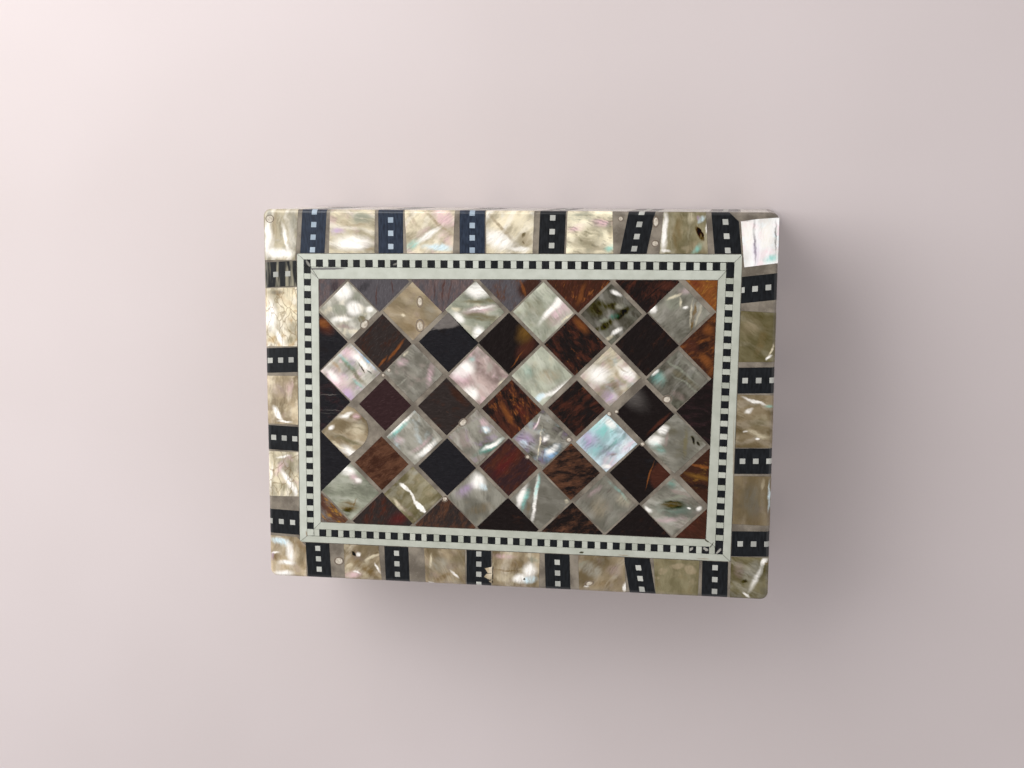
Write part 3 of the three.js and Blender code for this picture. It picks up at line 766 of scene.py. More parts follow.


# The pearl squares, row by row from the back left. lie is how a square is off its place: right, up,
# half its width, half its height, turn. The dabs are in millimetres from the square's middle; the
# white ones are partly pale nacre and partly painted highlights.
PEARL_LOOKS = {
    (1, 1): dict(
        lie=(-0.3, 0, 8.7, 8.6, 0), body="silver", tone=1.15,
        tints=("sage", "cream"), grain=20, ripple_sheen=0.25,
        dabs=[("white", -1.8, 5.6, 7, 6), ("white", 1.8, 0.8, 6, 5), ("white", -2.5, -2.6, 7, 2, 5),
              ("sage", -2.8, 0.2, 6, 3.6, 0, 0.9, 0.3), ("sage", 3, 4.2, 4, 3, 30, 0.7),
              ("olive", 4, -2.6, 2.8, 2.4, 40, 0.9, 0.3), ("rose", -1.4, -4.8, 6, 1.6, -10),
              ("cream", 1.5, -6.2, 4, 2), ("white", 6.3, 0.4, 3, 2)],
    ),
    (1, 2): dict(
        lie=(-0.3, 0, 8.7, 8.5, 0), body="buff", calm=0.6, tone=0.95,
        tints=("rose", "buff"), grain=70, ripple_sheen=0.08, lines=0.15,
        dabs=[("olive", 0, 3, 12, 5, 0, 0.35), ("silver", 5, 0, 4, 6, 20, 0.4),
              ("cream", -3.2, -1.3, 1.6, 1), ("tan", 0, -4, 9, 5, 0, 0.35)],
    ),
    (1, 3): dict(
        lie=(-1.3, 0.3, 8.6, 8.6, -2), body="sage", calm=0.5,
        tints=("olive", "cream"), grain=85, ripple_sheen=0.15,
        dabs=[("white", 0, 6.5, 9, 5.2, 0, 1.0), ("olive", 0.5, 3.2, 14, 1.6, 2, 0.8),
              ("pink", 0.6, 0.7, 10, 1.8, 12, 1.0, 0.5), ("white", 0.8, 1.1, 8, 0.9, 12),
              ("olive", 0.6, -1.4, 13, 2.4, -5, 0.95), ("white", -6, -2.0, 5, 3, -40),
              ("white", 0, -6.0, 4, 4.4, 0, 1.0), ("cream", -6.8, 0.6, 3, 1.6)],
    ),
    (1, 4): dict(
        lie=(-0.6, 0, 8.7, 8.7, 0), body="sage", calm=0.5, tone=1.35,
        tints=("olive", "silver"), grain=40, ripple_sheen=0.12,
        dabs=[("pink", 4.2, 0.2, 9, 4.6, 47, 0.95), ("white", 1.6, 0.8, 11, 2.0, 48, 1.0),
              ("white", 3.4, 2.6, 5, 3.2, 45), ("cream", 6.2, -1.6, 4.5, 0.9, 45, 1.0),
              ("rose", 3.6, -2.4, 7, 1.2, 46, 0.6), ("olive", -3, 2, 6, 5, 20, 0.4)],
    ),
    (1, 5): dict(
        lie=(-0.4, -0.4, 8.6, 8.7, 1), body="grey", tone=0.85,
        tints=("sage", "slate"), grain=30, ripple_sheen=0.12,
        dabs=[("fern", -4.2, 1.4, 6.4, 5.2, 20, 0.95), ("moss", 1.8, -0.6, 9, 2.0, 32, 0.8),
              ("fern", -2.4, -3.9, 9, 2.0, 30, 0.95), ("fern", 0.2, 1.9, 5.2, 2.6),
              ("teal", 0.4, -1.1, 2.6, 1.4, 20, 0.8), ("sage", -2.6, -2.4, 3.6, 1.8, 10),
              ("silver", 1.6, 1.8, 3, 2.4, 0, 0.8), ("white", 0.9, 5.6, 4, 1.6, -30),
              ("white", 1.2, -5.2, 4.6, 1.5, 32, 0.95), ("cream", -1.3, -7.2, 3.4, 1.6, 30, 0.8)],
    ),
    (1, 6): dict(
        lie=(-0.6, 0.2, 8.6, 8.6, 0), body="silver", tone=0.75,
        tints=("sage", "silver"), grain=-40, ripple_sheen=0.1,
        dabs=[("sage", -2.3, 3.3, 5.2, 5, 0, 0.8, 0.4), ("cream", -2.0, 5.0, 5, 1.0, 25, 0.8),
              ("cream", -0.4, 3.2, 1.0, 3.6, 12, 0.7), ("white", -8.0, 1.2, 2.6, 3, 0, 1.0),
              ("grey", -2.6, -1.6, 7, 5, -30, 0.6), ("white", 1.4, 1.8, 2, 1.2, 30),
              ("tan", 3.4, -0.8, 9.4, 0.9, 76, 0.95, 0.4), ("cream", 4.6, -0.6, 7, 0.8, 72, 0.8),
              ("cream", 2.8, 0.2, 8, 0.7, 80, 0.7), ("pink", 1, 6.6, 4, 2, 0, 0.4)],
    ),
    (2, 1): dict(
        lie=(0.3, 0, 9.0, 8.6, 0), body="silver", tone=1.2, calm=0.55,
        tints=("lilac", "pink"), grain=-42, ripple_sheen=0.2,
        dabs=[("pink", -3.8, -3.4, 12, 5.6, -45, 1.0), ("lilac", -0.2, -6.8, 5, 2.8, -45),
              ("white", -5.2, -1.4, 7, 3, -45, 0.8), ("gold", -4.2, 1.6, 5, 1.1, -45, 0.45),
              ("aqua", -0.6, 2.4, 9, 1.1, -48, 0.95), ("olive", 1.2, 0.2, 13, 1.9, -46, 0.85),
              ("aqua", 2.8, -3.6, 5, 0.9, -45, 0.6), ("white", 3.2, 3.2, 9, 2.6, -44, 1.0),
              ("sky", 4.8, 4.4, 9, 1.1, -44, 0.95), ("pink", -0.6, 6.2, 5, 2.6, -40),
              ("moss", 3.4, 1.4, 4.8, 0.5, -55), ("slate", 6.0, 0.2, 3, 0.6, -35, 0.8)],
    ),
    (2, 2): dict(
        lie=(0, 0, 8.7, 8.7, 0), body="grey", tone=1.2, calm=0.75,
        tints=("rose", "silver"), grain=60, ripple_sheen=0.1,
        dabs=[("silver", 0, 0, 8, 4, 50, 0.4), ("pink", 5.2, -0.8, 7, 1.8, 78, 0.85),
              ("pink", -3.4, 3.2, 3.4, 2.2, 20, 0.75), ("cream", -2.2, 6, 2.4, 0.8, 50, 0.8),
              ("silver", -4, -3, 7, 0.6, 40, 0.6), ("silver", 0.5, -5.4, 6, 0.6, -40, 0.5)],
    ),
    (2, 3): dict(
        lie=(0.1, -0.3, 8.8, 8.6, 2), body="rose", calm=0.3, tone=1.15,
        tints=("silver", "pink"), grain=40, ripple_sheen=0.15,
        dabs=[("white", -4.4, 1.2, 8.5, 5.4, 35, 1.0), ("pink", -4.8, -1.4, 6, 4, 0, 0.8),
              ("aqua", -2.0, 4.6, 3, 1.6, 40, 0.6), ("white", -2.2, -5.6, 5.2, 4.4, -30, 1.0),
              ("silver", 3.4, 2.2, 5, 2, 60, 0.6), ("cream", 7.2, -2.0, 4, 1.6, 40, 0.85),
              ("grey", 0.8, 6, 5, 4, 0, 0.5)],
    ),
    (2, 4): dict(
        lie=(-0.6, 0, 8.8, 8.7, 1), body="sage", calm=0.5, tone=1.3,
        tints=("silver", "buff"), grain=35, ripple_sheen=0.1, lines=0.2,
        dabs=[("buff", 1, 0.2, 8, 4.6, 10, 0.6), ("white", 2.6, -4.4, 13, 1.9, 35, 1.0),
              ("ice", -1.2, -6.6, 4.6, 2.4, 40), ("silver", 3.4, -3, 7, 1.6, 38, 0.7),
              ("aqua", -5.2, 1, 4, 4, 0, 0.25)],
    ),
    (2, 5): dict(
        lie=(-0.2, 0.2, 8.6, 8.6, 0), body="cream", tone=0.7,
        tints=("pink", "ice"), grain=-50, ripple_sheen=0.3,
        dabs=[("white", -3.8, 0.6, 8, 7, 0, 1.0),
              ("cream", 0, 7, 4, 3.4), ("white", 5, 1.2, 7, 4.2, -40, 1.0),
              ("buff", 0.6, 3.2, 8.5, 2.2, -58), ("buff", 3.4, 2.8, 5, 0.7, -35, 0.6),
              ("olive", 1.8, -3.4, 8, 2.8, -58, 0.6), ("lilac", -0.4, -5.9, 5, 3.4, -20, 0.95),
              ("pink", 5.4, -0.2, 5, 1.4, -20, 0.7)],
    ),
    (2, 6): dict(
        lie=(-0.3, -0.3, 8.7, 8.5, 0), body="grey", calm=0.5, tone=0.95,
        tints=("sage", "slate"), grain=-36, ripple_sheen=0.12,
        dabs=[("aqua", -6, 0, 5, 3.4, -36, 0.55), ("white", -7, 1.6, 3, 1.4, 45, 0.8),
              ("sage", 0.6, 2.4, 13, 0.9, -38, 0.85), ("olive", 1.4, 0.4, 12, 1.8, -36, 0.6),
              ("sage", 2.4, -1.6, 11, 0.8, -36, 0.85), ("silver", 4, 3, 8, 1.0, -42, 0.6),
              ("rose", 0, -5, 6, 2.4, -30, 0.5)],
    ),
    (3, 1): dict(
        lie=(0, -0.2, 8.7, 8.7, 0), body="buff", tone=0.85, calm=0.5,
        tints=("cream", "silver"), grain=75, ripple_sheen=0.15,
        dabs=[("white", -1, 5.2, 4.6, 1.8, 20, 1.0), ("pink", 2.0, 4.6, 2.4, 2),
              ("white", -5.6, 1.4, 2.4, 1.6, 40, 1.0), ("cream", 2.4, 1, 5, 5, 0, 0.5),
              ("olive", -0.6, -2.4, 12, 1.7, -16), ("white", 0.2, -6.4, 9, 3.6, -32, 1.0),
              ("cream", -4, -4, 5, 1.4, -30, 0.8), ("silver", 3.6, -4.6, 4, 1.4, 40, 0.6)],
    ),
    (3, 2): dict(
        lie=(0.4, -1.0, 8.4, 8.2, 0), body="silver", calm=0.4, tone=0.9,
        tints=("ice", "silver"), grain=45, ripple_sheen=0.1,
        dabs=[("white", -4.2, 2.6, 12, 1.5, 44, 1.0), ("aqua", -4.6, 1.2, 8, 1.3, 44, 0.95),
              ("pink", -4.4, -2.0, 3.4, 2, 0, 0.8), ("white", 4.0, -4.4, 10, 2.4, 42, 1.0),
              ("pink", 2.4, -3.2, 8, 1.2, 42, 0.6), ("slate", 1.8, 3.4, 4, 1.2, -35, 0.6),
              ("silver", 0, 0, 8, 5, 40, 0.4)],
    ),
    (3, 3): dict(
        lie=(-0.2, -0.3, 8.3, 8.2, 0), body="silver", tone=0.82,
        tints=("rose", "lilac"), grain=30, ripple_sheen=0.12,
        dabs=[("teal", 4.0, -3.0, 9.4, 1.7, 30, 0.95), ("white", 4.6, -2.3, 8.4, 1.4, 30, 1.0),
              ("ice", 2.6, 2.2, 3.4, 2.4, -20, 1.0), ("white", 2.7, 2.2, 2.0, 1.2, -20),
              ("pink", 2.1, 4.4, 2.8, 2.4, -40), ("rose", -4, -1, 6, 6, 0, 0.5),
              ("silver", -2.4, 3, 5, 3, 0, 0.5)],
    ),
    (3, 4): dict(
        lie=(0, 0, 8.7, 8.6, 0), body="silver", tone=0.7,
        tints=("lilac", "ice"), grain=70, ripple_sheen=0.15, lines=0.5,
        dabs=[("lilac", -5, -0.6, 6, 4, 0, 0.7), ("ice", -5.6, -1.6, 3, 2.4, 0, 0.7),
              ("sky", 2.6, -4.2, 6.2, 2.8, 46, 1.0), ("white", 2.8, -3.2, 5.4, 2.2, 46, 1.0),
              ("white", 0.9, 0.2, 2.6, 1.8, 40, 1.0), ("cream", -0.9, -1.6, 11, 0.6, 84),
              ("white", -1.6, 5, 5, 0.5, 68, 0.8), ("pink", -2.0, 4.2, 4, 0.7, 60, 0.8),
              ("silver", 4.4, 0.8, 6, 1.0, 50, 0.7), ("tan", 0.2, -5.4, 4, 0.5, 80, 0.6)],
    ),
    (3, 5): dict(
        lie=(-0.7, -0.6, 8.8, 8.5, 0), body="ice", tone=0.84,
        tints=("lilac", "aqua"), grain=-40, ripple_sheen=0.35, lines=0.35,
        dabs=[("aqua", -1.6, 3.4, 9, 6, -40, 0.95), ("white", 0.2, 5.2, 5, 3, -40),
              ("lilac", -5.8, -0.2, 6.4, 5, -30), ("aqua", -4.2, -2.8, 5, 3, 40),
              ("slate", 0.6, -1.2, 13, 2.0, 38, 0.5), ("slate", 3.6, 2.4, 6, 2.6, -38, 0.4),
              ("aqua", 2.4, 0.2, 5, 1.6, 30, 0.7), ("pink", 5.6, -1.8, 8, 1.8, 42, 0.95),
              ("pink", 0.6, -6.4, 5, 4, 40), ("white", -0.6, -7.6, 3, 1.6),
              ("tan", 1.5, -4, 2.2, 1.1, 0, 0.8), ("slate", -3.2, -4.6, 4, 1.6, 60, 0.35)],
    ),
    (3, 6): dict(
        lie=(-0.3, 0, 8.8, 8.7, 0), body="silver", tone=0.78, calm=0.7,
        tints=("olive", "silver"), grain=80, ripple_sheen=0.12,
        dabs=[("white", -3.8, 4.0, 4, 3.2, 50, 1.0), ("white", -6.0, 0.4, 5.4, 3.6, 0, 1.0),
              ("rose", -2.8, 1.4, 5, 1.1, 80), ("aqua", -5.4, -1.4, 5, 2, -30, 0.6),
              ("olive", 2.6, 0.2, 10, 1.6, 86, 0.85), ("moss", 4.8, 1.2, 3, 0.8, -70, 0.8),
              ("moss", 6.4, 0.2, 1.8, 0.7, -60, 0.7), ("silver", -1, -4, 5, 5, 0, 0.5)],
    ),
    (4, 1): dict(
        lie=(0, 0, 8.7, 8.7, 0), body="sage", calm=0.5, tints=("silver", "sage"), grain=85, ripple_sheen=0.1,
        dabs=[("white", -0.4, 6.4, 5.4, 3.2, 0, 1.0), ("pink", 1.4, 4.2, 4, 2.6, -40, 0.85),
              ("white", 2.4, 3.6, 2.4, 1.8, 0, 0.8), ("tan", -0.8, -4.8, 8, 3.6, 0, 0.85),
              ("moss", -1.4, -6.6, 5, 3, 20, 0.6), ("tan", 1.2, -4, 4, 0.7, 70, 0.7)],
    ),
    (4, 2): dict(
        lie=(-0.1, -0.2, 8.8, 8.7, 0), body="olive", calm=0.5, tone=1.1,
        tints=("buff", "silver"), grain=-45, ripple_sheen=0.1, lines=0.2,
        dabs=[("white", -2.6, 2.2, 4.6, 1.5, -38, 1.0, 0.4), ("white", -0.2, -0.4, 4.4, 1.0, -66, 1.0, 0.4),
              ("white", 2.2, -3.8, 6.4, 1.7, -48, 1.0, 0.4), ("cream", -4.4, -3.4, 6, 1.4, -45),
              ("rose", -2.4, -4.8, 8, 2, -45, 0.5), ("silver", 0, 7, 4, 2, 0, 0.7)],
    ),
    (4, 3): dict(
        lie=(0, 0, 8.7, 8.7, 0), body="silver", calm=0.6, tone=0.78,
        tints=("buff", "silver"), grain=10, ripple_sheen=0.08, lines=0.2,
        dabs=[("white", 0.2, 4.8, 5.4, 6.4, 30, 1.0), ("ice", 2.0, 3.4, 3.4, 2.4, -40),
              ("lilac", -3.4, 2.0, 6, 2.6, 40, 0.8), ("silver", 0, 1.2, 8, 3, 0, 0.7),
              ("tan", 1, -3.4, 8, 3.4, 10, 0.35)],
    ),
    (4, 4): dict(
        lie=(-0.5, 0, 8.8, 8.6, 0), body="grey", tone=1.15, calm=0.9,
        tints=("grey", "silver"), grain=86, ripple_sheen=0.05, lines=0.2,
        dabs=[("white", -5.9, 1.2, 9, 2.4, 68, 1.0), ("aqua", -5.0, 0.2, 7, 1.2, 70),
              ("white", -2.0, 0.6, 17, 1.5, 84, 1.0), ("aqua", -1.5, 4.2, 8, 0.9, 80),
              ("tan", -4.0, -1.6, 6, 1.2, 80, 0.4), ("cream", 7.4, 0.2, 1.6, 1.2, 0, 0.8)],
    ),
    (4, 5): dict(
        lie=(-0.6, 0, 8.7, 8.6, 0), body="silver", calm=0.8, tone=0.71,
        tints=("sage", "rose"), grain=-30, ripple_sheen=0.05, lines=0.2,
        dabs=[("aqua", 3.4, 4.0, 8, 0.8, -44, 0.5), ("cream", 5, 1.2, 6, 4, -20, 0.35),
              ("buff", -2.4, -1.2, 6, 8, 0, 0.4), ("pink", -3.6, 3.8, 5, 1.4, 44, 0.4)],
    ),
    (4, 6): dict(
        lie=(-0.3, 0, 8.8, 8.6, 0), body="silver", tone=0.85,
        tints=("rose", "sage"), grain=80, ripple_sheen=0.12,
        dabs=[("teal", -0.2, -0.8, 11, 4.2, -4, 0.25), ("sage", 1.5, 3.2, 9, 1.4, 20, 0.7),
              ("rose", 2.2, 4.4, 7, 1.5, -20, 0.8), ("pink", -1, -3.8, 9, 1.2, 6, 0.6),
              ("moss", -0.6, 0.4, 8.4, 3.2, 0, 0.7, 0.4), ("tan", -0.6, 0.5, 6.8, 1.7, 0, 0.5, 0.4),
              ("white", 4.4, -0.2, 1.6, 0.8), ("white", -7.4, -0.8, 3, 1.4, -45),
              ("white", 7.6, -0.2, 2.2, 1.4, 40), ("teal", -0.6, 7, 3, 2, 0, 0.5)],
    ),
}


def round_off_right(x, y):
    """The square in the third row's first place has lost its right point along a curve."""
    middle, radius = Vector((x - 1.2, y + 0.9)), 6.9
    for turn in range(-50, 80, 10):
        way = Vector((math.cos(math.radians(turn)), math.sin(math.radians(turn))))
        trim(on_face(LID, *(middle + way * radius)), Vector((way.x, way.y, 0)))


def pearl_squares():
    for (row, column), look in PEARL_LOOKS.items():
        look = dict(look)
        right, up, reach_x, reach_y, turn = look.pop("lie")
        middle = pearl_middle(row, column)
        x, y = laid(middle.x, middle.y)
        corners = diamond(x + right, y + up, reach_x + PEARL_GROWS[0], reach_y + PEARL_GROWS[1], turn)
        cuts = [lambda: round_off_right(x, y)] if (row, column) == (3, 1) else []
        name = f"shell_square_{row}_{column}"
        piece = tile(name, LID, corners, cuts, pocket="lid")
        seed = 7 * row + 3.1 * column
        painted_with(piece, nacre(f"nacre_{row}_{column}", (x, y), seed, **look))
        placed(piece, "pearl", f"pearl_square_{row}_{column}")


# The tortoiseshell, by rows and columns of the points between the pearl squares. lie as above, with
# one reach. The dabs are in millimetres from the piece's middle.
DARK_LOOKS = {
    # The back row's dusk and mauve grounds are painted reflection of the light on the polish.
    (0, 0): dict(lie=(0.3, 0, 8.4), dark="dusk", warm="mauve", warmth=0.6, flame=0.0, grain=80,
                 dabs=[("rust", 0.6, -2, 5, 0.8, 86, 0.5), ("plum", 5.6, -2, 3, 4, 0, 0.6)]),
    (0, 1): dict(lie=(-0.6, -0.4, 9.0), dark="dusk", warm="dusk", warmth=0.3, flame=0, grain=85,
                 dabs=[("rust", -1.4, -4.6, 7, 0.5, 84, 0.7), ("rust", 3.4, -2, 5, 0.5, 95, 0.6),
                       ("navy", -5.4, -2.2, 6, 2.4, 40, 0.5)]),
    (0, 2): dict(lie=(-1.2, -0.2, 9.3), dark="dusk", warm="mauve", warmth=0.7, flame=0, grain=84,
                 dabs=[("rust", -1, -3, 9, 0.7, 84, 0.6), ("rust", 1, -3, 9, 0.5, 82, 0.5),
                       ("rust", -3.4, -3, 6, 0.5, 86, 0.5)]),
    (0, 3): dict(lie=(-0.6, -0.2, 9.0), dark="dusk", warm="umber", warmth=0.4, flame=0.0, grain=75,
                 dabs=[("brown", 5.2, -1.8, 9, 6, 40, 0.95, 0.4), ("amber", 3.2, -2.4, 6, 1.0, 110, 0.7)]),
    (0, 4): dict(lie=(-0.4, -0.2, 9.2), dark="brown", warm="rust", warmth=0.6, flame=0.55, grain=75,
                 dabs=[("amber", 0.4, -4, 8, 1.8, 72, 0.6)]),
    (0, 5): dict(lie=(-0.2, -0.3, 9.1), dark="black", warm="rust", warmth=0.5, flame=0.08, grain=60,
                 dabs=[("rust", 5.2, -1.4, 7, 3, 0, 0.8), ("black", 2, -3, 8, 0.6, 40)]),
    (0, 6): dict(lie=(0, 0, 8.9), dark="rust", warm="amber", glow="gold", warmth=0.95, flame=0.6, grain=50,
                 dabs=[("amber", -2.4, -3, 7, 4, -50, 0.8), ("red", -6, -0.8, 4, 2, -40, 0.7)]),
    (1, 0): dict(lie=(0, -0.2, 9.2), dark="navy", warm="black", warmth=0.3, flame=0.05,
                 dabs=[("rust", 2.4, 4.6, 7, 5, -40), ("amber", 1.6, 5.4, 5, 3, -30, 0.8)]),
    (1, 1): dict(lie=(0.4, -0.4, 8.7), dark="soot", warm="brown", warmth=0.4, flame=0.12, grain=50,
                 dabs=[("amber", 4.6, -2.4, 9, 1.2, 52), ("amber", 0.4, -6, 5, 0.9, 50, 0.8),
                       ("brown", -3.8, 3, 7, 0.5, 55, 0.8)]),
    # The haze dabs over (1,2) are a painted reflection: a grey veil and a line of light.
    (1, 2): dict(lie=(0.8, 0.2, 8.9), dark="navy", warm="black", warmth=0.3, flame=0,
                 dabs=[("haze", -0.8, 6.8, 15, 5.6, 5, 0.95, 0.25), ("haze", -4, 3.9, 8, 0.3, 12, 0.7)]),
    (1, 3): dict(lie=(-0.8, 0.1, 9.0), dark="black", warm="black", warmth=0.3, flame=0.05, grain=60,
                 dabs=[("rust", 4.4, -1.2, 9, 5, 50, 0.8), ("gold", 4.2, 3.8, 7, 4, 60, 0.45),
                       ("amber", 1.9, -4.4, 7, 0.5, 55, 0.8)]),
    (1, 4): dict(lie=(-0.9, 0, 9.0), dark="black", warm="rust", warmth=0.5, flame=0.4, grain=-48,
                 dabs=[("amber", 0.6, 5.8, 7, 3, -48, 0.7), ("black", -3, -1.5, 12, 1.4, -48, 0.7)]),
    (1, 5): dict(lie=(0.3, 0.3, 9.1), dark="black", warm="brown", warmth=0.25, flame=0.02, grain=55),
    (1, 6): dict(lie=(0, 0, 9.8), dark="brown", warm="amber", warmth=0.4, flame=0.4, grain=30,
                 dabs=[("black", -3.4, 0.4, 6, 2.4, 25, 0.85), ("rust", -7, 0, 6, 5, 0, 0.7),
                       ("amber", -1.8, 5, 4, 4, 60, 0.7), ("amber", -2.4, -4, 6, 3, -50, 0.8)]),
    (2, 0): dict(lie=(0, 0, 9.8), dark="navy", warm="plum", warmth=0.5, flame=0,
                 dabs=[("haze", 3.5, 2.1, 8, 0.3, 2, 0.5), ("haze", 4.5, -2.6, 9, 0.25, 1, 0.5),
                       ("haze", 3, -3.6, 7, 0.2, 2, 0.4)]),
    (2, 1): dict(lie=(1.1, -0.5, 7.9), dark="plum", warm="plum", warmth=0.5, flame=0.0, grain=20),
    (2, 2): dict(lie=(0.3, -0.6, 8.6), dark="soot", warm="brown", warmth=0.3, flame=0.02,
                 dabs=[("brown", 3.6, 3, 9, 2.6, -45, 0.8)]),
    (2, 3): dict(lie=(0.3, -0.8, 8.8), dark="black", warm="rust", warmth=0.7, flame=0.62, grain=-62,
                 dabs=[("amber", -1.2, -2, 9, 2.2, -60, 0.7), ("red", 2.6, -1, 6, 2, -50, 0.5)]),
    (2, 4): dict(lie=(0, 0, 8.3), dark="black", warm="rust", warmth=0.5, flame=0.3, grain=40),
    # The haze dab over (2,5) is a painted reflection, a grey veil on its upper left corner.
    (2, 5): dict(lie=(0.4, -0.9, 8.4), dark="black", warm="black", warmth=0.3, flame=0.0,
                 dabs=[("haze", -4.6, 5.6, 15, 7, -45, 0.6, 0.95), ("rust", 4.6, -3.9, 10, 1.3, 45)]),
    (2, 6): dict(lie=(0, 0, 10.0), dark="black", warm="plum", warmth=0.4, flame=0.0),
    (3, 0): dict(lie=(0, 0, 9.9), dark="navy", warm="navy", warmth=0.3, flame=0.0),
    (3, 1): dict(lie=(0, 0, 8.2), dark="brown", warm="umber", warmth=0.7, flame=0.1, grain=30),
    (3, 2): dict(lie=(0.6, -0.3, 8.7), dark="navy", warm="navy", warmth=0.3, flame=0.0),
    (3, 3): dict(lie=(-0.3, 0.4, 8.7), dark="plum", warm="rust", warmth=0.6, flame=0.0, grain=50,
                 dabs=[("red", -1.2, 1.6, 11, 3, 50, 0.85), ("rust", -0.6, 3, 5, 1.2, 50, 0.7)]),
    (3, 4): dict(lie=(-1.2, -0.2, 8.5), dark="black", warm="umber", warmth=0.65, flame=0.35, grain=10,
                 dabs=[("black", -2.6, -0.6, 8, 1.2, -8, 0.8)]),
    (3, 5): dict(lie=(-0.4, 0.1, 8.8), dark="black", warm="navy", warmth=0.3, flame=0.0,
                 dabs=[("rust", 5.6, -0.4, 9, 6.6, 75, 0.85, 0.3), ("amber", 2.4, -0.4, 9, 0.5, 76)]),
    (3, 6): dict(lie=(0, 0, 8.3), dark="brown", warm="gold", warmth=0.22, flame=0.2, grain=-15,
                 dabs=[("amber", -2.4, 3, 8, 0.9, -12), ("black", -2.6, -3, 8, 2, -10, 0.7),
                       ("gold", -3, 0, 8, 1.4, -14, 0.5)]),
    (4, 0): dict(lie=(0.2, 0.3, 8.6), dark="umber", warm="haze", glow="gold", warmth=0.6, flame=0.7,
                 grain=-40, dabs=[("rust", 1.2, 4.6, 5, 2.4, 90, 0.7)]),
    (4, 1): dict(lie=(0.2, 0.3, 9.2), dark="soot", warm="rust", warmth=0.4, flame=0.05, grain=70,
                 dabs=[("red", 5, 1.4, 7, 3.4, 30, 0.8)]),
    (4, 2): dict(lie=(0.2, 0.1, 9.2), dark="soot", warm="umber", warmth=0.6, flame=0.2, grain=70),
    (4, 3): dict(lie=(-0.2, 0.5, 9.2), dark="black", warm="brown", warmth=0.2, flame=0.0),
    (4, 4): dict(lie=(-0.4, 0.3, 9.0), dark="black", warm="umber", warmth=0.5, flame=0.1, grain=20),
    (4, 5): dict(lie=(-0.2, 0.4, 9.4), dark="black", warm="brown", warmth=0.3, flame=0.02, grain=40),
    (4, 6): dict(lie=(0, 0.4, 8.9), dark="brown", warm="rust", warmth=0.6, flame=0.3, grain=-30),
}


def tortoiseshell_pieces():
    for (row, column), look in DARK_LOOKS.items():
        look = dict(look)
        right, up, reach = look.pop("lie")
        true_x = FIRST_PEARL.x + (column - 0.5) * PITCH_X
        true_y = FIRST_PEARL.y - (row - 0.5) * PITCH_Y
        x, y = laid(true_x, true_y)
        corners = diamond(x + right, y + up, reach + DARK_GROWS[0], reach + DARK_GROWS[1])
        piece = tile(f"tortoiseshell_{row}_{column}", LID, corners, [trim_at_field_edge], pocket="lid")
        seed = 5.3 * row + 2.7 * column
        painted_with(piece, tortoiseshell(f"tortoiseshell_{row}_{column}", (x, y), seed, **look))
        placed(piece, "tortoiseshell")
